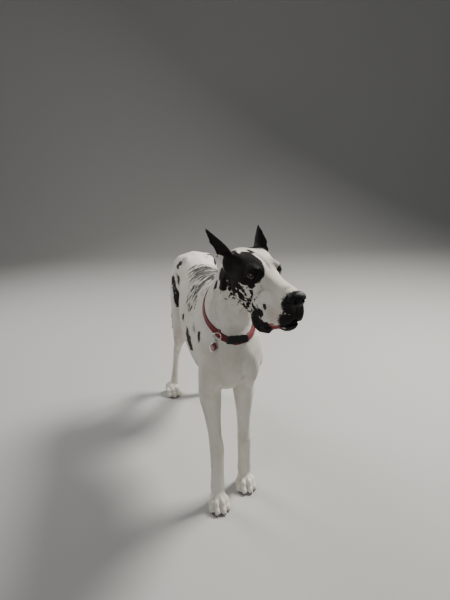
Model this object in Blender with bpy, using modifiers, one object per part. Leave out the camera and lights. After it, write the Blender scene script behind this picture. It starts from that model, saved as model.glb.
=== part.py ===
"""A harlequin Great Dane with cropped ears, standing, life size, in a red collar.

The dog faces -Y, its left side is +X and the floor is z = 0. The flesh is built from lofted
limbs and muscle ovals in the dog's own frame, fused by a voxel remesh, softened, thinned out,
and then parted into head, neck, torso, legs, paws and tail with thin cuts. Metres.
"""

import math

import bmesh
import bpy
import numpy as np
from mathutils import Matrix, Vector
from mathutils.bvhtree import BVHTree

# Driving sizes
WITHERS = 0.862
FORE_PAW_TOP = 0.078
HIND_PAW_TOP = 0.080
HIND_PAW_SCALE = 1.03
PASTERN_END = 0.060
SHOULDER_HEIGHT = 0.645
GAP = 0.0003
VOXEL = 0.0050
FLESH_TRIANGLES = 7400
FLOOR_SINK = 0.0025
ORIGIN_SHIFT = Vector((0.0213, -0.2255, 0.0))

# Places of the joints, (x, y, z); the right side is -X
FORELEGS = {
    "right": dict(elbow=(-0.063, 0.010, 0.455), carpus=(-0.0515, -0.020, 0.225),
                  paw=(-0.0595, -0.052), toe_out=-2),
    "left": dict(elbow=(0.069, 0.036, 0.455), carpus=(0.062, 0.018, 0.225), paw=(0.065, 0.026), toe_out=4),
}
HINDLEGS = {
    "right": dict(hip=(-0.064, 0.620, 0.735), stifle=(-0.080, 0.600, 0.490), hock=(-0.083, 0.846, 0.262),
                  paw=(-0.126, 0.834), toe_out=-24),
    "left": dict(hip=(0.062, 0.612, 0.735), stifle=(0.082, 0.555, 0.490), hock=(0.078, 0.778, 0.266),
                 paw=(0.082, 0.766), toe_out=8),
}

# Torso sections: (y, top, bottom, half width)
TORSO = [
    (-0.212, 0.690, 0.635, 0.028), (-0.196, 0.728, 0.595, 0.056), (-0.165, 0.780, 0.560, 0.082),
    (-0.110, 0.828, 0.522, 0.096), (-0.040, 0.852, 0.478, 0.106), (0.040, WITHERS, 0.447, 0.115),
    (0.120, 0.852, 0.437, 0.122), (0.210, 0.840, 0.452, 0.123), (0.300, 0.836, 0.486, 0.115),
    (0.380, 0.836, 0.526, 0.102), (0.450, 0.840, 0.560, 0.092), (0.520, 0.847, 0.585, 0.095),
    (0.590, 0.844, 0.610, 0.099), (0.650, 0.826, 0.635, 0.092), (0.700, 0.797, 0.655, 0.074),
    (0.735, 0.765, 0.680, 0.046), (0.750, 0.740, 0.700, 0.018),
]
TORSO_CENTRE_X = -0.004
WIDEST_SHARE = 0.56

# Neck sections: (x, y, z, half width, half depth)
NECK = [
    (-0.005, -0.040, 0.715, 0.102, 0.150), (-0.008, -0.068, 0.770, 0.097, 0.124),
    (-0.004, -0.096, 0.825, 0.085, 0.103), (0.005, -0.122, 0.880, 0.069, 0.088),
    (0.016, -0.146, 0.930, 0.063, 0.076), (0.022, -0.162, 0.958, 0.050, 0.055),
]
NECK_CREST = 0.30

# Tail: (x, y, z, radius)
TAIL = [
    (0.000, 0.680, 0.785, 0.034), (-0.018, 0.730, 0.772, 0.029), (-0.050, 0.766, 0.735, 0.025),
    (-0.070, 0.790, 0.670, 0.022), (-0.081, 0.808, 0.590, 0.019), (-0.088, 0.828, 0.510, 0.016),
    (-0.092, 0.850, 0.440, 0.0130), (-0.093, 0.872, 0.385, 0.0095), (-0.093, 0.886, 0.360, 0.0055),
]

TAIL_CUT = (Vector((-0.060, 0.779, 0.705)), (-0.26, 0.24, -0.93), 0.038)

# The head's own frame: forward, left and up from the point between the eyes
HEAD_AT = Vector((0.052, -0.284, 0.940))
HEAD_YAW, HEAD_PITCH, HEAD_ROLL = math.radians(13.6), math.radians(6.3), math.radians(2.6)
# Skull and muzzle sections: (forward, top, bottom, half width)
SKULL = [
    (-0.178, 0.018, -0.016, 0.018), (-0.164, 0.031, -0.034, 0.036), (-0.130, 0.044, -0.058, 0.054),
    (-0.090, 0.049, -0.074, 0.061), (-0.050, 0.049, -0.080, 0.062), (-0.020, 0.046, -0.078, 0.058),
    (0.004, 0.039, -0.076, 0.047), (0.024, 0.026, -0.078, 0.037), (0.050, 0.018, -0.080, 0.032),
    (0.088, 0.013, -0.082, 0.031), (0.120, 0.011, -0.076, 0.031), (0.140, 0.007, -0.068, 0.028),
    (0.150, -0.004, -0.056, 0.020),
]
# Each flew: (forward, top, bottom, outward, half thickness)
FLEW = [
    (0.150, -0.040, -0.066, 0.010, 0.009), (0.140, -0.030, -0.077, 0.019, 0.012),
    (0.117, -0.020, -0.093, 0.026, 0.014), (0.094, -0.010, -0.114, 0.030, 0.013),
    (0.072, -0.008, -0.134, 0.033, 0.012), (0.050, -0.014, -0.146, 0.036, 0.011),
    (0.026, -0.030, -0.144, 0.040, 0.010), (0.004, -0.050, -0.126, 0.042, 0.008),
]
# Lower jaw: (forward, top, bottom, half width)
JAW = [
    (0.138, -0.080, -0.096, 0.015), (0.126, -0.074, -0.108, 0.023), (0.104, -0.070, -0.113, 0.026),
    (0.060, -0.060, -0.120, 0.029), (0.000, -0.050, -0.127, 0.038), (-0.040, -0.040, -0.126, 0.045),
    (-0.078, -0.030, -0.110, 0.047), (-0.100, -0.030, -0.084, 0.036),
]
EYE = (-0.004, 0.0385, 0.0100)
EYE_RADIUS = 0.0140
ORBIT_RADIUS = 0.0185
GAZE_OUT = math.radians(32)
LID_OPENING = (0.011, 0.0150, 0.0088)
NOSE_PAD = ((0.147, 0.0, -0.008), (0.0205, 0.0265, 0.0205))
NOSTRIL = ((0.164, 0.0145, -0.007), (0.010, 0.0048, 0.0060))
TONGUE = ((0.100, -0.005, -0.0925), (0.036, 0.0345, 0.0080))
# Slot of the mouth: (forward, height of its middle, half height)
MOUTH = [(0.175, -0.079, 0.0030), (0.145, -0.080, 0.0030), (0.116, -0.090, 0.0028), (0.088, -0.106, 0.0018)]
MOUTH_HALF_WIDTH = 0.050
HEAD_CUT = ((-0.136, 0.0, -0.025), (0.894, 0.0, 0.447), 0.125)

# Ears, cropped and upright: the roots in the head's frame, the tips in the dog's
EAR_ROOT = (-0.108, 0.053, 0.018)
EAR_TIPS = {"right": Vector((-0.083, -0.168, 1.060)), "left": Vector((0.080, -0.132, 1.055))}
EAR_OPENS_OUT = {"right": math.radians(76), "left": math.radians(106)}
# (share of the length, half width, depth of the cup, thickness)
EAR = [
    (0.00, 0.030, 0.017, 0.0090), (0.15, 0.034, 0.018, 0.0080), (0.32, 0.033, 0.017, 0.0066),
    (0.50, 0.0275, 0.014, 0.0052), (0.68, 0.0195, 0.010, 0.0042), (0.85, 0.0115, 0.006, 0.0034),
    (0.96, 0.0060, 0.003, 0.0028), (1.00, 0.0028, 0.001, 0.0022),
]

# Collar
COLLAR_CENTRE = Vector((-0.005, -0.090, 0.779))
COLLAR_TILT = math.radians(31.0)
COLLAR_WIDTH = 0.021
COLLAR_THICKNESS = 0.0035
COLLAR_STEPS = 60
BUCKLE_TURN = math.radians(-91)
BUCKLE_SIZE = (0.068, 0.027, 0.012)
RING_TURN = math.radians(-122)
RING_RADIUS = 0.0120
RING_WIRE = 0.0017
KEEPER = (0.012, 0.017, 0.0062)
TAG_HALF = (0.0125, 0.0160, 0.0012)
BAIL = (0.0042, 0.0010)

# Muscles as ovals, by name: centre, radii and turn in degrees; x is outward from the middle line
BODY_MUSCLES = {
    "shoulder blade": ((0.058, -0.052, 0.715), (0.038, 0.066, 0.125), (-24, -12, 0)),
    "point of the shoulder": ((0.058, -0.122, 0.640), (0.037, 0.054, 0.064), (0, 0, 0)),
    "breast": ((0.034, -0.152, 0.628), (0.041, 0.048, 0.080), (14, 0, 0)),
    "haunch": ((0.054, 0.600, 0.760), (0.046, 0.100, 0.070), (-16, 0, 0)),
    "hip bone": ((0.046, 0.500, 0.819), (0.026, 0.040, 0.022), (0, 0, 0)),
}
# The same on the head, in its own frame: (forward, outward, up) and radii
HEAD_MUSCLES = {
    "cheek": ((-0.060, 0.045, -0.044), (0.040, 0.020, 0.040)),
    "cheek bone": ((-0.048, 0.051, -0.006), (0.046, 0.013, 0.013)),
    "brow": ((-0.012, 0.032, 0.023), (0.032, 0.018, 0.016)),
    "temple": ((-0.085, 0.032, 0.028), (0.052, 0.026, 0.021)),
    "ear base": ((-0.114, 0.051, 0.011), (0.034, 0.019, 0.033)),
}
# A paw's pads and toes from its middle: centre, radii, turn; the toes are mirrored
PAW_PADS = [((0, 0.013, 0.034), (0.031, 0.038, 0.036)), ((0, 0.020, 0.012), (0.026, 0.028, 0.014))]
PAW_TOES = [
    ((0.0115, -0.020, 0.0300), (0.0120, 0.022, 0.0225), -14, 0),
    ((0.0120, -0.038, 0.0165), (0.0115, 0.018, 0.0165), 0, 0),
    ((0.0285, -0.004, 0.0270), (0.0120, 0.021, 0.0210), -12, 8),
    ((0.0300, -0.021, 0.0150), (0.0110, 0.018, 0.0150), 0, 8),
]
CLAW_AT = ((-0.0125, -0.050), (0.0125, -0.050), (-0.0315, -0.033), (0.0315, -0.033))
CLAW_HEIGHT, CLAW_LENGTH, CLAW_RADII, CLAW_DROOP = 0.0135, 0.016, (0.0048, 0.0018), math.radians(62)

# Limb profiles: (share of the way, half width, half depth, offset along y)
UPPER_ARM = [(-0.1, 0.026, 0.040, 0), (0.1, 0.036, 0.056, 0), (0.4, 0.042, 0.070, 0.010),
             (0.75, 0.040, 0.062, 0.012), (1.05, 0.034, 0.046, 0.004)]
FOREARM = [(-0.25, 0.030, 0.040, 0.004), (0.0, 0.0420, 0.050, 0.002), (0.18, 0.0385, 0.046, 0),
           (0.42, 0.0305, 0.038, 0), (0.72, 0.0255, 0.0300, 0), (0.92, 0.0270, 0.0295, 0),
           (1.08, 0.0265, 0.0285, 0)]
FORE_PASTERN = [(-0.15, 0.0265, 0.0285, 0), (0.15, 0.0265, 0.0280, 0), (0.5, 0.0255, 0.0260, 0),
                (0.85, 0.0285, 0.0270, 0), (1.0, 0.0280, 0.0265, 0)]
THIGH = [(-0.15, 0.030, 0.085, 0.004), (0.05, 0.046, 0.116, 0.008), (0.35, 0.050, 0.120, 0.006),
         (0.65, 0.048, 0.108, 0.000), (0.95, 0.041, 0.078, 0.004), (1.1, 0.030, 0.050, 0.010)]
SECOND_THIGH = [(-0.10, 0.036, 0.060, 0), (0.10, 0.040, 0.066, 0), (0.35, 0.0345, 0.052, 0),
                (0.62, 0.0250, 0.0335, 0), (0.85, 0.0205, 0.0265, 0), (1.05, 0.0205, 0.0260, 0)]
HIND_PASTERN = [(-0.12, 0.0205, 0.0260, 0.002), (0.08, 0.0210, 0.0275, 0.004), (0.35, 0.0185, 0.0220, 0.003),
                (0.70, 0.0190, 0.0210, 0), (1.0, 0.0240, 0.0250, 0)]

FLAT_SHADED = ("collar_band", "collar_buckle", "tag")
COAT = (0.80, 0.78, 0.73, 1)
BLACK = (0.02, 0.02, 0.022, 1)


def material(name, colour, roughness, metallic=0.0):
    found = bpy.data.materials.get(name) or bpy.data.materials.new(name)
    found.use_nodes = True
    shader = found.node_tree.nodes["Principled BSDF"]
    shader.inputs["Base Color"].default_value = colour
    shader.inputs["Roughness"].default_value = roughness
    shader.inputs["Metallic"].default_value = metallic
    found.diffuse_color = colour
    return found


def clear_scene():
    for obj in list(bpy.data.objects):
        bpy.data.objects.remove(obj)


def new_object(name, mesh, collection, finish=None):
    obj = bpy.data.objects.new(name, mesh)
    collection.objects.link(obj)
    if finish:
        mesh.materials.append(finish)
    return obj


def spline(stations, steps):
    """Rows between the stations on a Catmull-Rom curve, so that few stations make a smooth form."""
    rows = np.array(stations, float)
    padded = np.vstack([2 * rows[0] - rows[1], rows, 2 * rows[-1] - rows[-2]])
    made = []
    for i in range(1, len(padded) - 2):
        a, b, c, d = padded[i - 1:i + 3]
        for t in np.arange(steps) / steps:
            made.append(0.5 * (2 * b + (c - a) * t + (2 * a - 5 * b + 4 * c - d) * t**2
                               + (3 * b - a - 3 * c + d) * t**3))
    made.append(rows[-1])
    return np.array(made)


def superellipse(sides, power):
    """Points round a unit section; power 2 is an ellipse and more is squarer."""
    angles = np.arange(sides) * 2 * math.pi / sides
    across, along = np.cos(angles), np.sin(angles)
    grow = lambda v: np.sign(v) * np.abs(v) ** (2 / power)
    return grow(across), grow(along)


def add_loft(bm, rings):
    """A closed skin over rings of equal count, with a fan at each end."""
    loops = [[bm.verts.new(point) for point in ring] for ring in rings]
    count = len(loops[0])
    made = []
    for low, high in zip(loops, loops[1:]):
        for i in range(count):
            j = (i + 1) % count
            made.append(bm.faces.new((low[i], low[j], high[j], high[i])))
    for loop in (loops[0], loops[-1]):
        centre = bm.verts.new(sum((v.co for v in loop), Vector()) / count)
        for i in range(count):
            made.append(bm.faces.new((loop[i], loop[(i + 1) % count], centre)))
    bmesh.ops.recalc_face_normals(bm, faces=made)


def add_limb(bm, stations, side=(1, 0, 0), steps=4, sides=20, crest=0.0):
    """A tube along (x, y, z, half width, half depth); side is the way that its width runs.

    With a crest the tube is narrower along its back than along its front.
    """
    rows = spline(stations, steps)
    centres = rows[:, :3]
    tangents = np.gradient(centres, axis=0)
    across, along = superellipse(sides, 2.0)
    across = across * (1 - crest * (along + 1) / 2)
    rings = []
    for centre, tangent, (wide, deep) in zip(centres, tangents, rows[:, 3:5]):
        tangent = tangent / np.linalg.norm(tangent)
        lateral = np.array(side, float) - np.dot(side, tangent) * tangent
        lateral /= np.linalg.norm(lateral)
        depth = np.cross(tangent, lateral)
        rings.append(centre + np.outer(across * wide, lateral) + np.outer(along * deep, depth))
    add_loft(bm, rings)


def add_muscle(bm, centre, radii, turn=(0, 0, 0)):
    """An oval of flesh with its three radii, turned by degrees about X, Y and Z."""
    turned = Matrix.Rotation(math.radians(turn[2]), 4, "Z") @ Matrix.Rotation(
        math.radians(turn[1]), 4, "Y") @ Matrix.Rotation(math.radians(turn[0]), 4, "X")
    matrix = Matrix.Translation(centre) @ turned @ Matrix.Diagonal((*radii, 1))
    bmesh.ops.create_uvsphere(bm, u_segments=20, v_segments=12, radius=1, matrix=matrix)


def add_section_body(bm, rows, centre_x, widest, power_down, steps=4, sides=28):
    """Upright sections along Y from (y, top, bottom, half width), pinched above at the withers."""
    rings = []
    for y, top, bottom, half in spline(rows, steps):
        power_up = 1.62 + 0.42 * min(1, max(0, (y - 0.05) / 0.20))
        middle = bottom + widest * (top - bottom)
        ring = []
        for i in range(sides):
            angle = 2 * math.pi * i / sides
            power = power_up if math.sin(angle) > 0 else power_down
            reach = (top - middle) if math.sin(angle) > 0 else (middle - bottom)
            x = math.copysign(abs(math.cos(angle)) ** (2 / power), math.cos(angle))
            z = math.copysign(abs(math.sin(angle)) ** (2 / power), math.sin(angle))
            ring.append((centre_x + half * x, y, middle + reach * z))
        rings.append(ring)
    add_loft(bm, rings)


def mix(a, b, t):
    return tuple(p + (q - p) * t for p, q in zip(a, b))


def along(a, b, profile):
    """Limb stations between two joints from (share of the way, half width, half depth, y offset)."""
    return [(*(Vector(mix(a, b, t)) + Vector((0, shift, 0))), wide, deep) for t, wide, deep, shift in profile]


def add_paw(bm, place, toe_out, scale=1.0):
    """Four arched toes set round a pad, turned outward by toe_out degrees."""
    frame = Matrix.Translation((*place, 0)) @ Matrix.Rotation(math.radians(-toe_out), 4, "Z")
    turn = (0, 0, -toe_out)
    put = lambda p: frame @ (Vector(p) * scale)
    oval = lambda p, radii, extra=(0, 0, 0): add_muscle(
        bm, put(p), tuple(r * scale for r in radii), (extra[0], extra[1], turn[2] + extra[2]))
    for centre, radii in PAW_PADS:
        oval(centre, radii)
    for side in (-1, 1):
        for (x, y, z), radii, droop, splay in PAW_TOES:
            oval((side * x, y, z), radii, (droop, 0, -side * splay))


def add_foreleg(bm, side, leg):
    sign = -1 if side == "right" else 1
    elbow, carpus, (paw_x, paw_y) = leg["elbow"], leg["carpus"], leg["paw"]
    shoulder = (sign * 0.067, elbow[1] - 0.122, SHOULDER_HEIGHT)
    add_limb(bm, along(shoulder, elbow, UPPER_ARM))
    add_limb(bm, along(elbow, carpus, FOREARM))
    pastern = (paw_x + 0.002, paw_y + 0.020, PASTERN_END)
    add_limb(bm, along(carpus, pastern, FORE_PASTERN))
    # point of the elbow, front of the wrist and its pad
    add_muscle(bm, (elbow[0] + sign * 0.004, elbow[1] + 0.042, elbow[2] + 0.010), (0.017, 0.020, 0.028))
    add_muscle(bm, (carpus[0], carpus[1] - 0.010, carpus[2]), (0.0220, 0.0175, 0.034))
    add_muscle(bm, (carpus[0] - sign * 0.004, carpus[1] + 0.024, carpus[2] - 0.032), (0.010, 0.010, 0.014))
    add_paw(bm, leg["paw"], sign * leg["toe_out"])


def add_hindleg(bm, side, leg):
    sign = -1 if side == "right" else 1
    hip, stifle, hock = leg["hip"], leg["stifle"], leg["hock"]
    paw_x, paw_y = leg["paw"]
    add_limb(bm, along(hip, stifle, THIGH))
    add_limb(bm, along(stifle, hock, SECOND_THIGH))
    pastern = (paw_x - sign * 0.014, paw_y + 0.018, PASTERN_END)
    add_limb(bm, along(hock, pastern, HIND_PASTERN))
    # heel bone with its tendon, the kneecap and the back of the thigh
    heel = Vector((hock[0], hock[1] + 0.034, hock[2] + 0.034))
    calf = Vector(mix(stifle, hock, 0.18)) + Vector((0, 0.012, 0.010))
    add_limb(bm, [(*calf, 0.028, 0.040), (*(calf.lerp(heel, 0.30)), 0.022, 0.036),
                  (*(calf.lerp(heel, 0.60)), 0.0135, 0.0190), (*(calf.lerp(heel, 0.82)), 0.0095, 0.0115),
                  (*heel, 0.0130, 0.0130),
                  (*(heel + Vector((0, -0.002, -0.034))), 0.0125, 0.0140),
                  (*(heel + Vector((0, -0.012, -0.076))), 0.0120, 0.0120)])
    kneecap = (stifle[0] + sign * 0.002, stifle[1] - 0.058, stifle[2] + 0.014)
    add_muscle(bm, kneecap, (0.026, 0.027, 0.042), (20, 0, 0))
    low_calf = Vector(mix(stifle, hock, 0.36)) + Vector((0, 0.012, 0.014))
    back_y = (hip[1] + 0.074, hip[1] + 0.080, stifle[1] + 0.094, stifle[1] + 0.086)
    add_limb(bm, [(hip[0], back_y[0], hip[2] - 0.010, 0.026, 0.034),
                  (hip[0] + sign * 0.003, back_y[1], hip[2] - 0.085, 0.036, 0.045),
                  (stifle[0] * 0.95, back_y[2], stifle[2] + 0.070, 0.036, 0.044),
                  (stifle[0], back_y[3], stifle[2] - 0.010, 0.029, 0.036), (*low_calf, 0.020, 0.028)])
    # the thin skin between the tendon and the shin
    web = []
    for share, deep in ((0.35, 0.020), (0.60, 0.022), (0.85, 0.023), (1.0, 0.020)):
        shin = Vector(mix(stifle, hock, 0.18 + 0.82 * share))
        web.append((*shin.lerp(calf.lerp(heel, share), 0.5), 0.0085, deep))
    add_limb(bm, web)
    add_paw(bm, leg["paw"], leg["toe_out"], HIND_PAW_SCALE)


def head_matrix():
    """The head's frame: columns forward, left and up, at the point between the eyes."""
    forward = Vector((math.sin(HEAD_YAW) * math.cos(HEAD_PITCH), -math.cos(HEAD_YAW) * math.cos(HEAD_PITCH),
                      -math.sin(HEAD_PITCH)))
    left = Vector((math.cos(HEAD_YAW), math.sin(HEAD_YAW), 0))
    up = forward.cross(left)
    rolled = left * math.cos(HEAD_ROLL) + up * math.sin(HEAD_ROLL)
    up = forward.cross(rolled)
    matrix = Matrix((forward, rolled, up)).transposed().to_4x4()
    matrix.translation = HEAD_AT
    return matrix


def add_sections(bm, rows, power, centre=None, sides=24):
    """Sections along the head's own forward axis, from (forward, top, bottom, half width)."""
    across, upward = superellipse(sides, power)
    rings = []
    for row in spline(rows, 4):
        forward, top, bottom = row[:3]
        middle, reach = (top + bottom) / 2, (top - bottom) / 2
        out, half = (0.0, row[3]) if centre is None else (centre * row[3], row[4])
        rings.append([(forward, out + half * a, middle + reach * u) for a, u in zip(across, upward)])
    add_loft(bm, rings)


def add_head(bm):
    """Skull, muzzle, flews, jaw, brows and cheeks, in the head's frame and then turned into place."""
    head = bmesh.new()
    add_sections(head, SKULL, 2.6, sides=28)
    add_sections(head, JAW, 2.2)
    add_muscle(head, *NOSE_PAD)
    eye = Vector(EYE)
    for side in (-1, 1):
        add_sections(head, FLEW, 2.3, centre=side, sides=20)
        for (forward, out, up), radii in HEAD_MUSCLES.values():
            add_muscle(head, (forward, side * out, up), radii)
        add_muscle(head, (eye.x, side * eye.y, eye.z), (ORBIT_RADIUS,) * 3)
    bmesh.ops.transform(head, matrix=head_matrix(), verts=head.verts)
    keep = bpy.data.meshes.new("head_forms")
    head.to_mesh(keep)
    head.free()
    bm.from_mesh(keep)
    bpy.data.meshes.remove(keep)


def flesh_forms():
    """All the closed forms of the flesh, lapping over one another, in one bmesh."""
    bm = bmesh.new()
    add_section_body(bm, TORSO, TORSO_CENTRE_X, WIDEST_SHARE, 1.85)
    add_limb(bm, NECK, crest=NECK_CREST)
    add_limb(bm, [(x, y, z, r, r) for x, y, z, r in TAIL])
    for side in (-1, 1):
        for (x, y, z), radii, (pitch, lean, turn) in BODY_MUSCLES.values():
            add_muscle(bm, (side * x, y, z), radii, (pitch, side * lean, turn))
    for side, leg in FORELEGS.items():
        add_foreleg(bm, side, leg)
    for side, leg in HINDLEGS.items():
        add_hindleg(bm, side, leg)
    add_head(bm)
    return bm


def apply_modifiers(obj):
    """The object's evaluated mesh takes the place of its mesh, and its modifiers go."""
    graph = bpy.context.evaluated_depsgraph_get()
    mesh = bpy.data.meshes.new_from_object(obj.evaluated_get(graph))
    obj.modifiers.clear()
    obj.data = mesh
    return obj


def mesh_object(name, bm, collection, finish=None):
    bmesh.ops.recalc_face_normals(bm, faces=bm.faces)
    if bm.calc_volume(signed=True) < 0:
        bmesh.ops.reverse_faces(bm, faces=bm.faces)
    mesh = bpy.data.meshes.new(name)
    bm.to_mesh(mesh)
    bm.free()
    return new_object(name, mesh, collection, finish)


def cut(obj, cutter, operation="DIFFERENCE", solver="EXACT"):
    tool = obj.modifiers.new(f"{operation.lower()}_{cutter.name}", "BOOLEAN")
    tool.operation = operation
    tool.object = cutter
    tool.solver = solver
    return apply_modifiers(obj)


def grown(obj, name, by, collection):
    """A copy that stands off the object's skin by a small distance."""
    copy = new_object(name, obj.data.copy(), collection)
    swell = copy.modifiers.new("swell", "DISPLACE")
    swell.mid_level = 0.0
    swell.strength = by
    return apply_modifiers(copy)


def weight_by(obj, name, weigh):
    """A vertex group whose weights come from a function of the point."""
    group = obj.vertex_groups.new(name=name)
    for vertex in obj.data.vertices:
        group.add([vertex.index], weigh(vertex.co), "REPLACE")
    return group


def softness(point):
    """How much the fused skin is smoothed: least on the paws and the face."""
    if point.z < 0.085:
        return 0.10
    if point.y < -0.19 and point.z > 0.80:
        return 0.16
    if point.z < 0.42:
        return 0.22
    return min(1.0, 0.22 + (point.z - 0.42) * 8)


def coarseness(point):
    """How freely the skin is thinned out: least on the head and the paws."""
    if point.y < -0.17 and point.z > 0.83:
        return 0.72
    if point.z < 0.10:
        return 0.78
    return 1.0


def build_flesh(collection):
    flesh = mesh_object("flesh", flesh_forms(), collection)
    fuse = flesh.modifiers.new("fuse", "REMESH")
    fuse.mode = "VOXEL"
    fuse.voxel_size = VOXEL
    apply_modifiers(flesh)
    weight_by(flesh, "soft", softness)
    soften = flesh.modifiers.new("soften", "SMOOTH")
    soften.factor = 0.5
    soften.iterations = 34
    soften.vertex_group = "soft"
    apply_modifiers(flesh)
    weight_by(flesh, "thin", coarseness)
    thin = flesh.modifiers.new("thin", "DECIMATE")
    thin.ratio = FLESH_TRIANGLES / (2 * len(flesh.data.polygons))
    thin.vertex_group = "thin"
    thin.vertex_group_factor = 0.5
    thin.use_collapse_triangulate = True
    apply_modifiers(flesh)
    flesh.data.transform(Matrix.Translation((0, 0, -FLOOR_SINK)))
    return flesh


def add_slab(bm, point, normal, half_width, half_length=None):
    """A thin plate across the way that the normal points."""
    turn = Vector((0, 0, 1)).rotation_difference(Vector(normal).normalized()).to_matrix().to_4x4()
    half_length = half_length or half_width
    size = Matrix.Diagonal((2 * half_width, 2 * half_length, GAP, 1))
    bmesh.ops.create_cube(bm, size=1, matrix=Matrix.Translation(point) @ turn @ size)


def add_dome(bm, centre, radii, rows=6, sides=20):
    """A thin dome, open below, that lifts a limb out of the body it joins."""
    rings = []
    for grow in (-GAP / 2, GAP / 2):
        part = []
        for i in range(rows):
            rise = math.radians(88) * (1 - i / (rows - 1))
            part.append([(centre[0] + (radii[0] + grow) * math.cos(rise) * math.cos(a),
                          centre[1] + (radii[1] + grow) * math.cos(rise) * math.sin(a),
                          centre[2] + (radii[2] + grow) * math.sin(rise))
                         for a in np.arange(sides) * 2 * math.pi / sides])
        rings += part if grow < 0 else part[::-1]
    add_loft(bm, rings)


def parting_cutter(collection):
    """All the thin cuts that part the flesh, as one object."""
    bm = bmesh.new()
    matrix = head_matrix()
    point, normal, radius = HEAD_CUT
    add_slab(bm, matrix @ Vector(point), matrix.to_3x3() @ Vector(normal), radius)
    add_slab(bm, COLLAR_CENTRE - collar_axis() * 0.004, collar_axis(), 0.17, 0.19)
    add_slab(bm, TAIL_CUT[0], TAIL_CUT[1], TAIL_CUT[2])
    for leg in FORELEGS.values():
        x, y, z = leg["elbow"]
        add_dome(bm, (x * 1.38, y - 0.030, z - 0.050), (0.072, 0.118, 0.250))
        add_slab(bm, (leg["paw"][0], leg["paw"][1] + 0.016, FORE_PAW_TOP), (0, 0, 1), 0.050)
    for leg in HINDLEGS.values():
        x, y, z = leg["hip"]
        add_dome(bm, (x * 1.45, y + 0.004, z - 0.235), (0.086, 0.165, 0.245))
        add_slab(bm, (leg["paw"][0], leg["paw"][1] + 0.016, HIND_PAW_TOP), (0, 0, 1), 0.050)
    return mesh_object("parting_cuts", bm, collection)


def collar_axis():
    return Vector((0, -math.sin(COLLAR_TILT), math.cos(COLLAR_TILT)))


def loose_pieces(bm):
    """Sets of joined points, the largest first."""
    left = set(bm.verts)
    pieces = []
    while left:
        seed = left.pop()
        piece, edge = {seed}, [seed]
        while edge:
            for link in edge.pop().link_edges:
                for vert in link.verts:
                    if vert in left:
                        left.discard(vert)
                        piece.add(vert)
                        edge.append(vert)
        pieces.append(piece)
    return sorted(pieces, key=len, reverse=True)


def keep_largest(obj):
    """Drops the slivers that a cut leaves beside the main body."""
    bm = bmesh.new()
    bm.from_mesh(obj.data)
    slivers = [vert for piece in loose_pieces(bm)[1:] for vert in piece]
    bmesh.ops.delete(bm, geom=slivers, context="VERTS")
    bm.to_mesh(obj.data)
    bm.free()


def split_loose(obj, anchors, collection):
    """Each of the largest loose pieces becomes the node whose anchor point lies nearest to it."""
    bm = bmesh.new()
    bm.from_mesh(obj.data)
    pieces = loose_pieces(bm)
    made = {}
    for piece in pieces[:len(anchors)]:
        middle = sum((v.co for v in piece), Vector()) / len(piece)
        name = min(anchors, key=lambda key: (anchors[key] - middle).length)
        part = bmesh.new()
        renamed = {v: part.verts.new(v.co) for v in piece}
        for face in {f for v in piece for f in v.link_faces}:
            part.faces.new([renamed[v] for v in face.verts])
        made[name] = mesh_object(name, part, collection)
    bm.free()
    bpy.data.objects.remove(obj)
    return made


def node_anchors():
    matrix = head_matrix()
    anchors = {"head": matrix @ Vector((0.02, 0, -0.02)), "neck": Vector((0.005, -0.125, 0.86)),
               "torso": Vector((0, 0.22, 0.68)), "tail": Vector((-0.085, 0.82, 0.56))}
    for side, leg in FORELEGS.items():
        anchors["foreleg_" + side] = Vector(leg["elbow"]) + Vector((0, 0, -0.08))
        anchors["forepaw_" + side] = Vector((*leg["paw"], 0.03))
    for side, leg in HINDLEGS.items():
        anchors["hindleg_" + side] = Vector(mix(leg["stifle"], leg["hip"], 0.2))
        anchors["hindpaw_" + side] = Vector((*leg["paw"], 0.03))
    return anchors


def ear_object(side, sign, collection, finish):
    """A cropped ear: crescent sections on a gentle curve from root to tip."""
    matrix = head_matrix()
    root = matrix @ Vector((EAR_ROOT[0], sign * EAR_ROOT[1], EAR_ROOT[2]))
    tip = EAR_TIPS[side] - Vector((0, 0, FLOOR_SINK))
    turn = EAR_OPENS_OUT[side]
    opening = matrix.to_3x3() @ Vector((math.cos(turn), sign * math.sin(turn), 0))
    outward = matrix.to_3x3() @ Vector((0, sign, 0))
    bend = (root + tip) / 2 + outward * 0.006 - opening * 0.006
    bm = bmesh.new()
    rings = []
    shares = np.linspace(-1, 1, 9)
    for share, half, depth, thick in spline(EAR, 2):
        point = root.lerp(bend, share).lerp(bend.lerp(tip, share), share)
        axis = (bend.lerp(tip, share) - root.lerp(bend, share)).normalized()
        front = (opening - axis * opening.dot(axis)).normalized()
        across = axis.cross(front) * sign
        back = [point + across * (half * a) - front * (depth * (1 - a * a)) for a in shares]
        inner = [point + across * (half * a * 0.93)
                 - front * (depth * (1 - a * a) - thick * (1 - 0.55 * a * a))
                 for a in shares[::-1]]
        rings.append(back + inner)
    add_loft(bm, rings)
    return mesh_object("ear_" + side, bm, collection, finish)


def claw_forms(bm, place, toe_out, scale):
    """Four blunt claws at the fronts of the toes."""
    frame = Matrix.Translation((*place, 0)) @ Matrix.Rotation(math.radians(-toe_out), 4, "Z")
    tilt = Matrix.Rotation(CLAW_DROOP, 4, "X")
    for x, y in CLAW_AT:
        at = frame @ Matrix.Translation((x * scale, y * scale, CLAW_HEIGHT)) @ tilt
        bmesh.ops.create_cone(bm, cap_ends=True, segments=7, radius1=CLAW_RADII[0] * scale,
                              radius2=CLAW_RADII[1] * scale, depth=CLAW_LENGTH * scale, matrix=at)


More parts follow.
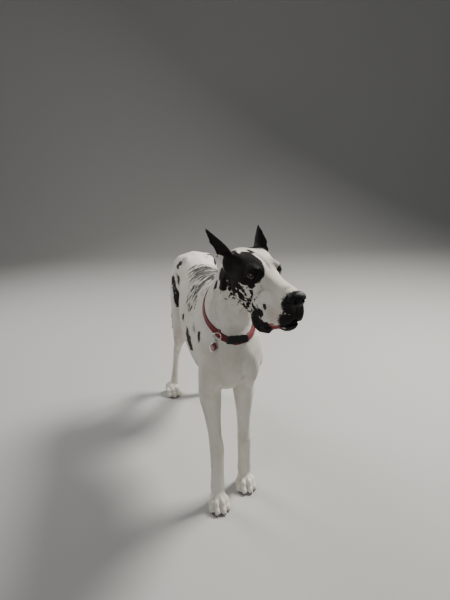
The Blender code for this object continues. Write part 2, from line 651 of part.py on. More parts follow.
def oval_object(name, centre, radii, matrix, collection, finish=None, segments=24, rings=14):
    bm = bmesh.new()
    bmesh.ops.create_uvsphere(bm, u_segments=segments, v_segments=rings, radius=1,
                              matrix=matrix @ Matrix.Translation(centre) @ Matrix.Diagonal((*radii, 1)))
    return mesh_object(name, bm, collection, finish)


def carve_face(head, dog, cutters, wet, pink):
    """Eye sockets with their lids, the slot of the mouth with the tongue in it, and the nostrils."""
    matrix = head_matrix()
    matrix.translation.z -= FLOOR_SINK
    sockets = []
    for side, sign in (("right", -1), ("left", 1)):
        centre = Vector((EYE[0], sign * EYE[1], EYE[2]))
        gaze = Matrix.Rotation(sign * GAZE_OUT, 4, "Z")
        oval_object("eye_" + side, centre, (EYE_RADIUS,) * 3, matrix, dog, wet, 18, 11)
        sockets.append(oval_object("socket_" + side, centre, (EYE_RADIUS + 2 * GAP,) * 3, matrix,
                                   cutters, None, 18, 10))
        opening = matrix @ Matrix.Translation(centre) @ gaze
        sockets.append(oval_object("lids_" + side, (EYE_RADIUS + 0.003, 0, -0.0005), LID_OPENING, opening,
                                   cutters, None, 20, 10))
        at, radii = NOSTRIL
        sockets.append(oval_object("nostril_" + side, (at[0], sign * at[1], at[2]), radii, matrix,
                                   cutters, None, 12, 6))
    at, radii = TONGUE
    oval_object("tongue", at, radii, matrix, dog, pink, 20, 8)
    sockets.append(oval_object("tongue_bed", at, [r + 4 * GAP for r in radii], matrix, cutters, None, 18, 8))
    bm = bmesh.new()
    corners = ((-1, -1), (1, -1), (1, 1), (-1, 1))
    rings = [[(f, a * MOUTH_HALF_WIDTH, u + b * h) for a, b in corners] for f, u, h in MOUTH]
    add_loft(bm, rings)
    bmesh.ops.transform(bm, matrix=matrix, verts=bm.verts)
    sockets.append(mesh_object("mouth_slot", bm, cutters))
    for cutter in sockets:
        cut(head, cutter)


def collar_spot(tree, turn, offset=0.0):
    """The neck's surface in the collar's plane at a turn round it, and the ways out, along and up there."""
    axis = collar_axis()
    back = Vector((0, math.cos(COLLAR_TILT), math.sin(COLLAR_TILT)))
    out = Vector((1, 0, 0)) * math.cos(turn) + back * math.sin(turn)
    start = COLLAR_CENTRE + axis * offset
    return tree.ray_cast(start, out)[0], out, axis.cross(out), axis


def worn_frame(tree, turn):
    """The middle of the strap at a turn round the neck: the ways out of, round and up the skin there."""
    low = collar_spot(tree, turn, -0.030)[0]
    spot, _, along_band, _ = collar_spot(tree, turn, COLLAR_WIDTH * 0.45)
    slope = (collar_spot(tree, turn, 0.030)[0] - low).normalized()
    out = along_band.cross(slope).normalized()
    if out.dot(spot - COLLAR_CENTRE) < 0:
        out.negate()
    return spot, out, slope.cross(out), slope


def add_collar(whole, grown_flesh, dog, cutters, finishes):
    tree = BVHTree.FromObject(whole, bpy.context.evaluated_depsgraph_get())
    turns = np.arange(COLLAR_STEPS) * 2 * math.pi / COLLAR_STEPS
    lows, highs = [], []
    for turn in turns:
        low = collar_spot(tree, turn)[0]
        step = COLLAR_WIDTH
        for _ in range(3):
            high = collar_spot(tree, turn, step)[0]
            step *= COLLAR_WIDTH / (high - low).length
        lows.append(low)
        highs.append(high)
    edges = []
    for row, level in ((lows, 0.0), (highs, 1.0)):
        heart = sum(row, Vector()) / len(row)
        radius = np.array([(p - heart).length for p in row])
        kernel = np.array([1, 2, 3, 4, 3, 2, 1]) / 16
        wide = np.concatenate([radius[-3:], radius, radius[:3]])
        worn = np.maximum(np.convolve(wide, kernel, "valid"), radius) + 0.0006
        outs = [(p - heart).normalized() for p in row]
        edges.append([(heart + out * (r - 0.004), heart + out * (w + COLLAR_THICKNESS))
                      for out, r, w in zip(outs, radius, worn)])
    rings = [(low[0], low[1], high[1], high[0]) for low, high in zip(*edges)]
    bm = bmesh.new()
    loops = [[bm.verts.new(p) for p in ring] for ring in rings]
    for one, two in zip(loops, loops[1:] + loops[:1]):
        for k in range(4):
            bm.faces.new((one[k], one[(k + 1) % 4], two[(k + 1) % 4], two[k]))
    band = mesh_object("collar_band", bm, dog, finishes["webbing"])
    cut(band, grown_flesh)
    plate = grown(band, "grown_band", 1.8 * GAP, cutters)

    # buckle: a rounded block laid on the band
    half = COLLAR_THICKNESS
    spot, out, along_band, slope = worn_frame(tree, BUCKLE_TURN)
    bm = bmesh.new()
    turn = Matrix((along_band, slope, out)).transposed().to_4x4()
    turn.translation = spot + out * (half + BUCKLE_SIZE[2] * 0.30)
    bmesh.ops.create_cube(bm, size=1, matrix=turn @ Matrix.Diagonal((*BUCKLE_SIZE, 1)))
    bmesh.ops.bevel(bm, geom=bm.edges[:], offset=0.0028, segments=2, profile=0.6, affect="EDGES")
    buckle = mesh_object("collar_buckle", bm, dog, finishes["plastic"])
    cut(buckle, plate)
    cut(buckle, grown_flesh)
    keep_largest(buckle)

    # ring with its keeper, and the tag on its bail
    spot, out, along_band, slope = worn_frame(tree, RING_TURN)
    turn = Matrix((along_band, slope, out)).transposed().to_4x4()
    keeper_at = spot + out * (half + KEEPER[2] * 0.45)
    # the tag hangs clear of the chest: the way down that leans out furthest
    ways = [(collar_spot(tree, RING_TURN, -drop)[0] + out * 0.011 - keeper_at).normalized()
            for drop in (0.020, 0.030, 0.040, 0.050, 0.060)]
    lean = max(ways, key=lambda way: way.dot(out))
    lean = (lean - along_band * lean.dot(along_band)).normalized()
    out_from = along_band.cross(lean).normalized()
    out_from = out_from if out_from.dot(out) > 0 else -out_from
    bm = bmesh.new()
    turn.translation = keeper_at
    bmesh.ops.create_cube(bm, size=1, matrix=turn @ Matrix.Diagonal((*KEEPER, 1)))
    cut(band, mesh_object("keeper", bm, cutters), "UNION")
    cut(band, grown_flesh)
    centre = keeper_at + lean * (RING_RADIUS - 0.001) + out * 0.0010
    ring_frame = Matrix((along_band, lean, out_from)).transposed().to_4x4()
    ring_frame.translation = centre
    torus_object("collar_ring", RING_RADIUS, RING_WIRE, ring_frame, dog, finishes["steel"])
    cut(band, torus_object("grown_ring", RING_RADIUS, RING_WIRE + GAP, ring_frame, cutters))
    bottom = centre + lean * RING_RADIUS
    bail_frame = Matrix((out_from, lean, along_band)).transposed().to_4x4()
    bail_frame.translation = bottom + lean * (BAIL[0] - RING_WIRE - BAIL[1] - 0.0004)
    bail = torus_object("bail", BAIL[0], BAIL[1], bail_frame, cutters)
    bm = bmesh.new()
    outline = []
    for i in range(24):
        a = 2 * math.pi * i / 24
        pinch = 1 - 0.18 * abs(math.sin(2 * a))
        outline.append((TAG_HALF[0] * math.cos(a) * pinch, TAG_HALF[1] * math.sin(a) * pinch))
    add_loft(bm, [[(x, y, -TAG_HALF[2]) for x, y in outline], [(x, y, TAG_HALF[2]) for x, y in outline]])
    tag_frame = Matrix((along_band, lean, out_from)).transposed().to_4x4()
    tag_frame.translation = bail_frame.translation + lean * (BAIL[0] + TAG_HALF[1] - 0.0006)
    bmesh.ops.transform(bm, matrix=tag_frame, verts=bm.verts)
    tag = mesh_object("tag", bm, dog, finishes["enamel"])
    cut(tag, bail, "UNION")


def torus_object(name, major, minor, frame, collection, finish=None, around=22, tube=6):
    bm = bmesh.new()
    loops = []
    for i in range(around):
        a = 2 * math.pi * i / around
        loops.append([bm.verts.new(frame @ Vector(((major + minor * math.cos(b)) * math.cos(a),
                                                    (major + minor * math.cos(b)) * math.sin(a),
                                                    minor * math.sin(b))))
                      for b in np.arange(tube) * 2 * math.pi / tube])
    for one, two in zip(loops, loops[1:] + loops[:1]):
        for k in range(tube):
            bm.faces.new((one[k], one[(k + 1) % tube], two[(k + 1) % tube], two[k]))
    return mesh_object(name, bm, collection, finish)


def main():
    clear_scene()
    scene = bpy.context.scene
    dog = bpy.data.collections.new("great_dane")
    cutters = bpy.data.collections.new("cutters")
    scene.collection.children.link(dog)
    scene.collection.children.link(cutters)
    coat = {name: material(name, colour, rough) for name, colour, rough in (
        ("coat_head", (0.72, 0.70, 0.66, 1), 0.8), ("coat_neck", COAT, 0.8), ("coat_body", COAT, 0.8),
        ("coat_leg", (0.84, 0.82, 0.77, 1), 0.8), ("coat_black", BLACK, 0.6))}
    finishes = {"webbing": material("red_webbing", (0.35, 0.03, 0.04, 1), 0.7),
                "plastic": material("black_plastic", (0.02, 0.02, 0.02, 1), 0.35),
                "steel": material("ring_steel", (0.6, 0.6, 0.6, 1), 0.3, 1.0),
                "enamel": material("tag_enamel", (0.22, 0.02, 0.03, 1), 0.3, 0.5)}
    wet = material("eye_dark", (0.05, 0.03, 0.02, 1), 0.1)
    pink = material("tongue_pink", (0.60, 0.20, 0.20, 1), 0.4)

    flesh = build_flesh(dog)
    floor_cut = bmesh.new()
    bmesh.ops.create_cube(floor_cut, size=1, matrix=Matrix.Translation((0, 0.35, -0.05)) @ Matrix.Diagonal(
        (0.8, 1.6, 0.1, 1)))
    cut(flesh, mesh_object("floor_cut", floor_cut, cutters))
    whole = new_object("whole_flesh", flesh.data.copy(), cutters)
    cut(flesh, parting_cutter(cutters))
    nodes = split_loose(flesh, node_anchors(), dog)
    for name, obj in nodes.items():
        key = "coat_head" if name == "head" else "coat_neck" if name == "neck" else "coat_body"
        key = "coat_leg" if "leg" in name or "paw" in name else key
        obj.data.materials.clear()
        obj.data.materials.append(coat[key])
    grown_whole = grown(whole, "grown_flesh", GAP, cutters)
    for side, sign in (("right", -1), ("left", 1)):
        ear = ear_object(side, sign, dog, coat["coat_black"])
        # the exact solver returns nothing for these two
        cut(ear, grown_whole, solver="MANIFOLD")
    carve_face(nodes["head"], dog, cutters, wet, pink)
    for table, kind in ((FORELEGS, "forepaw_"), (HINDLEGS, "hindpaw_")):
        for side, leg in table.items():
            bm = bmesh.new()
            turn = leg["toe_out"] * (-1 if side == "right" and table is FORELEGS else 1)
            claw_forms(bm, leg["paw"], turn, 1.0 if table is FORELEGS else HIND_PAW_SCALE)
            cut(nodes[kind + side], mesh_object("claws_" + kind + side, bm, cutters), "UNION")
    add_collar(whole, grown(whole, "worn_flesh", 2.5 * GAP, cutters), dog, cutters, finishes)
    cutters.hide_render = True
    for obj in list(dog.objects) + list(cutters.objects):
        obj.data.transform(Matrix.Translation(ORIGIN_SHIFT))
    for obj in cutters.objects:
        obj.display_type = "WIRE"
        obj.hide_render = True
    for obj in dog.objects:
        if obj.name not in FLAT_SHADED:
            obj.data.shade_smooth()


main()
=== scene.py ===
# %% [markdown]
# # A harlequin great dane, standing, in a red collar
# The imported solids are the fixed frame: every length and place below is in their metres. The dog faces -Y,
# its left side is +X, and its paws stand on z = 0. Each step says what the piece is, how it could be made,
# and why this way was chosen, and the cells print what they made.

# %% The imported model
import math
import time
from contextlib import contextmanager

import bmesh
import bpy
import numpy as np
from mathutils import Matrix, Vector
from mathutils.bvhtree import BVHTree


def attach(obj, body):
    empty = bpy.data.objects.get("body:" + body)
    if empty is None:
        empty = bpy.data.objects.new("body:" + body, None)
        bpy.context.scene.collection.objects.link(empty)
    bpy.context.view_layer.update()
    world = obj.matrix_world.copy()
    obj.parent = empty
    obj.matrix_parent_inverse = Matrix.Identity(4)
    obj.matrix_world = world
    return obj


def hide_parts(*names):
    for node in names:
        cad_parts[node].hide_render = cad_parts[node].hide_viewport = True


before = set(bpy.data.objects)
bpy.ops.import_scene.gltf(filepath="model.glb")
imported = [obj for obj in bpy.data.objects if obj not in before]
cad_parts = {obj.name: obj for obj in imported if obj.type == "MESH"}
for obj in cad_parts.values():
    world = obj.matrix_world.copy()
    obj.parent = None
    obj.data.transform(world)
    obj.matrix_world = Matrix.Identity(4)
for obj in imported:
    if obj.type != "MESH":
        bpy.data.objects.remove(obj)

STARTED = time.time()
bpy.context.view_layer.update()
# the forms are laid out in the dog's frame, SINK too high, and SHIFT brings them to the solids' place
SHIFT, SINK = Vector((0.0213, -0.2255, 0.0)), 0.0025
SIDES = (("right", -1), ("left", 1))
SIGN = dict(SIDES)


def told(*words):
    print(*words, round(time.time() - STARTED, 1), "s")


# %% [markdown]
# ## Forms
# A body can be sculpted by hand, or put together from simple closed forms: tubes that follow a bone, ovals
# for muscles, and sections along a line for the barrel and the skull. Forms with named places are easier to
# correct against a photograph, so the skin uses the same ones as the solids, and fuses them more finely.

# %% Curves and lofts
def mm(value):
    """Thousandths, in any nest of tuples, lists and dictionaries, as metres or shares."""
    if isinstance(value, dict):
        return {key: mm(inner) for key, inner in value.items()}
    return type(value)(map(mm, value)) if isinstance(value, (tuple, list)) else value / 1000


def spline(stations, steps):
    """Rows between the stations on a Catmull-Rom curve."""
    rows = np.array(stations, float)
    padded = np.vstack([2 * rows[0] - rows[1], rows, 2 * rows[-1] - rows[-2]])
    made = []
    for i in range(1, len(padded) - 2):
        a, b, c, d = padded[i - 1:i + 3]
        for t in np.arange(steps) / steps:
            made.append(0.5 * (2 * b + (c - a) * t + (2 * a - 5 * b + 4 * c - d) * t**2
                               + (3 * b - a - 3 * c + d) * t**3))
    made.append(rows[-1])
    return np.array(made)


def circle(sides):
    return [2 * math.pi * k / sides for k in range(sides)]


def superellipse(sides, power):
    angles = np.arange(sides) * 2 * math.pi / sides
    grow = lambda v: np.sign(v) * np.abs(v) ** (2 / power)
    return grow(np.cos(angles)), grow(np.sin(angles))


@contextmanager
def edited(mesh):
    """The mesh as a bmesh for the length of a block, then written back."""
    bm = bmesh.new()
    bm.from_mesh(mesh)
    yield bm
    bm.to_mesh(mesh)
    bm.free()


class Forms:
    """Closed forms gathered as points and faces, which is far quicker than growing one bmesh."""

    def __init__(self):
        self.points, self.faces = [], []

    def add(self, points, faces, matrix=None):
        first = len(self.points)
        self.points.extend(tuple(matrix @ Vector(p)) if matrix else tuple(p) for p in points)
        self.faces.extend(tuple(first + i for i in face) for face in faces)

    def mesh(self, name):
        made = bpy.data.meshes.new(name)
        made.from_pydata(self.points, [], self.faces)
        with edited(made) as bm:
            bmesh.ops.recalc_face_normals(bm, faces=bm.faces)
        return made


def tube_faces(rings, sides, first=0, flip=False, closed=False):
    """Quads between rings of points; flip turns them over, closed joins the last ring to the first."""
    faces = []
    for i in range(rings if closed else rings - 1):
        low, high = first + i * sides, first + (i + 1) % rings * sides
        for k in range(sides):
            j = (k + 1) % sides
            quad = (low + k, low + j, high + j, high + k)
            faces.append(quad[:1] + quad[:0:-1] if flip else quad)
    return faces


def add_loft(forms, rings):
    """A closed skin over rings of equal count, with a fan at each end."""
    count, rows = len(rings[0]), len(rings)
    points = [p for ring in rings for p in ring]
    faces = tube_faces(rows, count)
    for r in (0, rows - 1):
        points.append(np.mean([tuple(p) for p in rings[r]], axis=0))
        faces += [(r * count + i, r * count + (i + 1) % count, len(points) - 1) for i in range(count)]
    forms.add(points, faces)


def unit_oval(around=32, rows=18):
    """Points and faces of a ball, made once and stretched for each muscle."""
    points = [(0, 0, 1), (0, 0, -1)]
    for r in range(1, rows):
        rise, ring = math.pi * r / rows, np.arange(around) * 2 * math.pi / around
        points += [(math.sin(rise) * math.cos(a), math.sin(rise) * math.sin(a), math.cos(rise)) for a in ring]
    at = lambda r, i: 2 + (r - 1) * around + i % around
    faces = [(0, at(1, i), at(1, i + 1)) for i in range(around)]
    faces += [(1, at(rows - 1, i + 1), at(rows - 1, i)) for i in range(around)]
    faces += [(at(r, i), at(r + 1, i), at(r + 1, i + 1), at(r, i + 1)) for r in range(1, rows - 1)
              for i in range(around)]
    return points, faces


OVAL = unit_oval()


def add_limb(forms, stations, side=(1, 0, 0), steps=6, sides=32, crest=0.0):
    """A tube along (x, y, z, half width, half depth); with a crest it is narrower along its back."""
    rows = spline(stations, steps)
    tangents = np.gradient(rows[:, :3], axis=0)
    across, along_it = superellipse(sides, 2.0)
    across = across * (1 - crest * (along_it + 1) / 2)
    rings = []
    for centre, tangent, (wide, deep) in zip(rows[:, :3], tangents, rows[:, 3:5]):
        tangent = tangent / np.linalg.norm(tangent)
        lateral = np.array(side, float) - np.dot(side, tangent) * tangent
        lateral /= np.linalg.norm(lateral)
        depth = np.cross(tangent, lateral)
        rings.append(centre + np.outer(across * wide, lateral) + np.outer(along_it * deep, depth))
    add_loft(forms, rings)


def add_muscle(forms, centre, radii, turn=(0, 0, 0)):
    """An oval of flesh with its three radii, turned by degrees about X, Y and Z."""
    turned = Matrix.Rotation(math.radians(turn[2]), 4, "Z") @ Matrix.Rotation(
        math.radians(turn[1]), 4, "Y") @ Matrix.Rotation(math.radians(turn[0]), 4, "X")
    forms.add(*OVAL, Matrix.Translation(centre) @ turned @ Matrix.Diagonal((*radii, 1)))


def frame_at(place, *ways):
    """A matrix whose columns are three ways, set at a place."""
    matrix = Matrix(ways).transposed().to_4x4()
    matrix.translation = place
    return matrix


def mix(a, b, t):
    return tuple(p + (q - p) * t for p, q in zip(a, b))


def smooth(low, high, value):
    """0 below low, 1 above high and a soft step between, for arrays; low may be the larger."""
    t = np.clip((value - low) / (high - low), 0, 1)
    return t * t * (3 - 2 * t)


def bell(*terms, power=1):
    """1 where every value is at its centre, less as it leaves it; each term is (value, centre, width)."""
    return np.exp(-sum(((value - centre) / width) ** 2 for value, centre, width in terms) ** power)

# %% Barrel, neck and tail
# sections of the barrel: (y, top, bottom, half width)
TORSO = mm([
    (-212, 690, 635, 28), (-196, 728, 595, 56), (-165, 780, 560, 82), (-110, 828, 522, 96),
    (-40, 852, 478, 106), (40, 862, 447, 115), (120, 852, 437, 122), (210, 840, 452, 123),
    (300, 836, 486, 115), (380, 836, 526, 102), (450, 840, 560, 92), (520, 847, 585, 95), (590, 844, 610, 99),
    (650, 826, 635, 92), (700, 797, 655, 74), (735, 765, 680, 46), (750, 740, 700, 18),
])
# neck: (x, y, z, half width, half depth); tail: (x, y, z, radius)
NECK = mm([
    (-5, -40, 715, 102, 150), (-8, -68, 770, 97, 124), (-4, -96, 825, 85, 103), (5, -122, 880, 69, 88),
    (16, -146, 930, 63, 76), (22, -162, 958, 50, 55),
])
TAIL = mm([
    (0, 680, 785, 34), (-18, 730, 772, 29), (-50, 766, 735, 25), (-70, 790, 670, 22), (-81, 808, 590, 19),
    (-88, 828, 510, 16), (-92, 850, 440, 13), (-93, 872, 385, 9.5), (-93, 886, 360, 5.5),
])
BODY_MUSCLES = {
    "shoulder blade": ((0.058, -0.052, 0.715), (0.038, 0.066, 0.125), (-24, -12, 0)),
    "point of the shoulder": ((0.058, -0.122, 0.640), (0.037, 0.054, 0.064), (0, 0, 0)),
    "breast": ((0.034, -0.152, 0.628), (0.041, 0.048, 0.080), (14, 0, 0)),
    "haunch": ((0.054, 0.600, 0.760), (0.046, 0.100, 0.070), (-16, 0, 0)),
    "hip bone": ((0.046, 0.500, 0.819), (0.026, 0.040, 0.022), (0, 0, 0)),
}


def add_barrel(forms, centre_x=-0.004, widest=0.56, power_down=1.85, sides=48):
    rings = []
    for y, top, bottom, half in spline(TORSO, 8):
        power_up = 1.62 + 0.42 * min(1, max(0, (y - 0.05) / 0.20))
        middle = bottom + widest * (top - bottom)
        ring = []
        for c, s in ((math.cos(a), math.sin(a)) for a in circle(sides)):
            power = power_up if s > 0 else power_down
            reach = (top - middle) if s > 0 else (middle - bottom)
            ring.append((centre_x + half * math.copysign(abs(c) ** (2 / power), c), y,
                         middle + reach * math.copysign(abs(s) ** (2 / power), s)))
        rings.append(ring)
    add_loft(forms, rings)


def add_trunk(forms):
    add_barrel(forms)
    add_limb(forms, NECK, crest=0.30)
    add_limb(forms, [(x, y, z, r, r) for x, y, z, r in TAIL])
    for side in (-1, 1):
        for (x, y, z), radii, (pitch, lean, turn) in BODY_MUSCLES.values():
            add_muscle(forms, (side * x, y, z), radii, (pitch, side * lean, turn))

# %% Legs
FORELEGS = {
    "right": dict(elbow=(-0.063, 0.010, 0.455), carpus=(-0.0515, -0.020, 0.225), paw=(-0.0595, -0.052),
                  toe_out=-2),
    "left": dict(elbow=(0.069, 0.036, 0.455), carpus=(0.062, 0.018, 0.225), paw=(0.065, 0.026), toe_out=4),
}
HINDLEGS = {
    "right": dict(hip=(-0.064, 0.620, 0.735), stifle=(-0.080, 0.600, 0.490), hock=(-0.083, 0.846, 0.262),
                  paw=(-0.126, 0.834), toe_out=-24),
    "left": dict(hip=(0.062, 0.612, 0.735), stifle=(0.082, 0.555, 0.490), hock=(0.078, 0.778, 0.266),
                 paw=(0.082, 0.766), toe_out=8),
}
HIND_PAW_SCALE = 1.03
# limb profiles: (share of the way, half width, half depth, offset along y)
UPPER_ARM = mm([(-100, 26, 40, 0), (100, 36, 56, 0), (400, 42, 70, 10), (750, 40, 62, 12), (1050, 34, 46, 4)])
FOREARM = mm([
    (-250, 30, 40, 4), (0, 42, 50, 2), (180, 38.5, 46, 0), (420, 30.5, 38, 0), (720, 25.5, 30, 0),
    (920, 27, 29.5, 0), (1080, 26.5, 28.5, 0),
])
FORE_PASTERN = mm([
    (-150, 26.5, 28.5, 0), (150, 26.5, 28, 0), (500, 25.5, 26, 0), (850, 28.5, 27, 0), (1000, 28, 26.5, 0),
])
THIGH = mm([
    (-150, 30, 85, 4), (50, 46, 116, 8), (350, 50, 120, 6), (650, 48, 108, 0), (950, 41, 78, 4),
    (1100, 30, 50, 10),
])
SECOND_THIGH = mm([
    (-100, 36, 60, 0), (100, 40, 66, 0), (350, 34.5, 52, 0), (620, 25, 33.5, 0), (850, 20.5, 26.5, 0),
    (1050, 20.5, 26, 0),
])
HIND_PASTERN = mm([
    (-120, 20.5, 26, 2), (80, 21, 27.5, 4), (350, 18.5, 22, 3), (700, 19, 21, 0), (1000, 24, 25, 0),
])
PAW_PADS = mm([((0, 13, 34), (31, 38, 36)), ((0, 20, 12), (26, 28, 14))])
PAW_TOES = [
    ((0.0115, -0.020, 0.0300), (0.0120, 0.022, 0.0225), -14, 0),
    ((0.0120, -0.038, 0.0165), (0.0115, 0.018, 0.0165), 0, 0),
    ((0.0285, -0.004, 0.0270), (0.0120, 0.021, 0.0210), -12, 8),
    ((0.0300, -0.021, 0.0150), (0.0110, 0.018, 0.0150), 0, 8),
]


def along(a, b, profile):
    return [(*(Vector(mix(a, b, t)) + Vector((0, shift, 0))), wide, deep) for t, wide, deep, shift in profile]


def add_paw(forms, place, toe_out, scale=1.0):
    """Four arched toes set round a pad, turned outward by toe_out degrees."""
    turned = Matrix.Translation((*place, 0)) @ Matrix.Rotation(math.radians(-toe_out), 4, "Z")

    def oval(p, radii, droop=0, splay=0):
        radii = tuple(r * scale for r in radii)
        add_muscle(forms, turned @ (Vector(p) * scale), radii, (droop, 0, splay - toe_out))

    for centre, radii in PAW_PADS:
        oval(centre, radii)
    for side in (-1, 1):
        for (x, y, z), radii, droop, splay in PAW_TOES:
            oval((side * x, y, z), radii, droop, -side * splay)


def add_foreleg(forms, side, leg):
    sign = SIGN[side]
    elbow, carpus, (paw_x, paw_y) = leg["elbow"], leg["carpus"], leg["paw"]
    add_limb(forms, along((sign * 0.067, elbow[1] - 0.122, 0.645), elbow, UPPER_ARM))
    add_limb(forms, along(elbow, carpus, FOREARM))
    add_limb(forms, along(carpus, (paw_x + 0.002, paw_y + 0.020, 0.060), FORE_PASTERN))
    add_muscle(forms, (elbow[0] + sign * 0.004, elbow[1] + 0.042, elbow[2] + 0.010), (0.017, 0.020, 0.028))
    add_muscle(forms, (carpus[0], carpus[1] - 0.010, carpus[2]), (0.0220, 0.0175, 0.034))
    add_muscle(forms, (carpus[0] - sign * 0.004, carpus[1] + 0.024, carpus[2] - 0.032), (0.010, 0.010, 0.014))
    add_paw(forms, leg["paw"], sign * leg["toe_out"])


def add_hindleg(forms, side, leg):
    sign = SIGN[side]
    hip, stifle, hock, (paw_x, paw_y) = leg["hip"], leg["stifle"], leg["hock"], leg["paw"]
    add_limb(forms, along(hip, stifle, THIGH))
    add_limb(forms, along(stifle, hock, SECOND_THIGH))
    add_limb(forms, along(hock, (paw_x - sign * 0.014, paw_y + 0.018, 0.060), HIND_PASTERN))
    heel = Vector((hock[0], hock[1] + 0.034, hock[2] + 0.034))
    calf = Vector(mix(stifle, hock, 0.18)) + Vector((0, 0.012, 0.010))
    add_limb(forms, [(*calf, 0.028, 0.040), (*calf.lerp(heel, 0.30), 0.022, 0.036),
                     (*calf.lerp(heel, 0.60), 0.0135, 0.0190), (*calf.lerp(heel, 0.82), 0.0095, 0.0115),
                     (*heel, 0.0130, 0.0130), (*(heel + Vector((0, -0.002, -0.034))), 0.0125, 0.0140),
                     (*(heel + Vector((0, -0.012, -0.076))), 0.0120, 0.0120)])
    kneecap = (stifle[0] + sign * 0.002, stifle[1] - 0.058, stifle[2] + 0.014)
    add_muscle(forms, kneecap, (0.026, 0.027, 0.042), (20, 0, 0))
    low_calf = Vector(mix(stifle, hock, 0.36)) + Vector((0, 0.012, 0.014))
    back_y = (hip[1] + 0.074, hip[1] + 0.080, stifle[1] + 0.094, stifle[1] + 0.086)
    add_limb(forms, [(hip[0], back_y[0], hip[2] - 0.010, 0.026, 0.034),
                     (hip[0] + sign * 0.003, back_y[1], hip[2] - 0.085, 0.036, 0.045),
                     (stifle[0] * 0.95, back_y[2], stifle[2] + 0.070, 0.036, 0.044),
                     (stifle[0], back_y[3], stifle[2] - 0.010, 0.029, 0.036), (*low_calf, 0.020, 0.028)])
    web = []
    for share, deep in ((0.35, 0.020), (0.60, 0.022), (0.85, 0.023), (1.0, 0.020)):
        shin = Vector(mix(stifle, hock, 0.18 + 0.82 * share))
        web.append((*shin.lerp(calf.lerp(heel, share), 0.5), 0.0085, deep))
    add_limb(forms, web)
    add_paw(forms, leg["paw"], leg["toe_out"], HIND_PAW_SCALE)

# %% Head and ears
HEAD_AT = Vector((0.052, -0.284, 0.940))
HEAD_YAW, HEAD_PITCH, HEAD_ROLL = math.radians(13.6), math.radians(6.3), math.radians(2.6)
# skull: (forward, top, bottom, half width) in the head's own frame, from the point between the eyes
SKULL = mm([
    (-178, 18, -16, 18), (-164, 31, -34, 36), (-130, 44, -58, 54), (-90, 49, -74, 61), (-50, 49, -80, 62),
    (-20, 46, -78, 58), (4, 39, -76, 47), (24, 26, -78, 37), (50, 18, -80, 32), (88, 13, -82, 31),
    (120, 11, -76, 31), (140, 7, -68, 28), (150, -4, -56, 20),
])
# each flew: (forward, top, bottom, outward, half thickness)
FLEW = mm([
    (150, -40, -66, 10, 9), (140, -30, -77, 19, 12), (117, -20, -93, 26, 14), (94, -10, -114, 30, 13),
    (72, -8, -134, 33, 12), (50, -14, -146, 36, 11), (26, -30, -144, 40, 10), (4, -50, -126, 42, 8),
])
JAW = mm([
    (138, -80, -96, 15), (126, -74, -108, 23), (104, -70, -113, 26), (60, -60, -120, 29), (0, -50, -127, 38),
    (-40, -40, -126, 45), (-78, -30, -110, 47), (-100, -30, -84, 36),
])
HEAD_MUSCLES = mm({
    "cheek": ((-60, 45, -44), (40, 20, 40)), "cheek bone": ((-48, 51, -6), (46, 13, 13)),
    "brow": ((-12, 32, 23), (32, 18, 16)), "temple": ((-85, 32, 28), (52, 26, 21)),
    "ear base": ((-114, 51, 11), (34, 19, 33)),
})
EYE, EYE_RADIUS, GAZE_OUT = (-0.004, 0.0385, 0.0100), 0.0140, math.radians(32)
NOSE_PAD = ((0.147, 0.0, -0.008), (0.0205, 0.0265, 0.0205))
EAR_ROOT = (-0.108, 0.053, 0.018)
EAR_TIPS = {"right": Vector((-0.083, -0.168, 1.060)), "left": Vector((0.080, -0.132, 1.055))}
EAR_OPENS_OUT = {"right": math.radians(76), "left": math.radians(106)}
# ear: (share of the length, half width, depth of the cup, thickness)
EAR = mm([
    (0, 30, 17, 9), (150, 34, 18, 8), (320, 33, 17, 6.6), (500, 27.5, 14, 5.6), (680, 19.5, 10, 5.2),
    (850, 11.5, 6, 5), (960, 6.2, 3, 4.8), (1000, 3.4, 1, 4.4),
])


def head_matrix():
    """The head's frame: columns forward, left and up, at the point between the eyes."""
    forward = Vector((math.sin(HEAD_YAW) * math.cos(HEAD_PITCH), -math.cos(HEAD_YAW) * math.cos(HEAD_PITCH),
                      -math.sin(HEAD_PITCH)))
    left = Vector((math.cos(HEAD_YAW), math.sin(HEAD_YAW), 0))
    rolled = left * math.cos(HEAD_ROLL) + forward.cross(left) * math.sin(HEAD_ROLL)
    return frame_at(HEAD_AT, forward, rolled, forward.cross(rolled))


def ear_ends(side):
    """The root and the tip of an ear in the dog's frame."""
    return head_matrix() @ Vector((EAR_ROOT[0], SIGN[side] * EAR_ROOT[1], EAR_ROOT[2])), EAR_TIPS[side]


def add_sections(forms, rows, power, centre=None, sides=40):
    across, upward = superellipse(sides, power)
    rings = []
    for row in spline(rows, 6):
        forward, top, bottom = row[:3]
        out, half = (0.0, row[3]) if centre is None else (centre * row[3], row[4])
        rings.append([(forward, out + half * a, (top + bottom) / 2 + (top - bottom) / 2 * u)
                      for a, u in zip(across, upward)])
    add_loft(forms, rings)


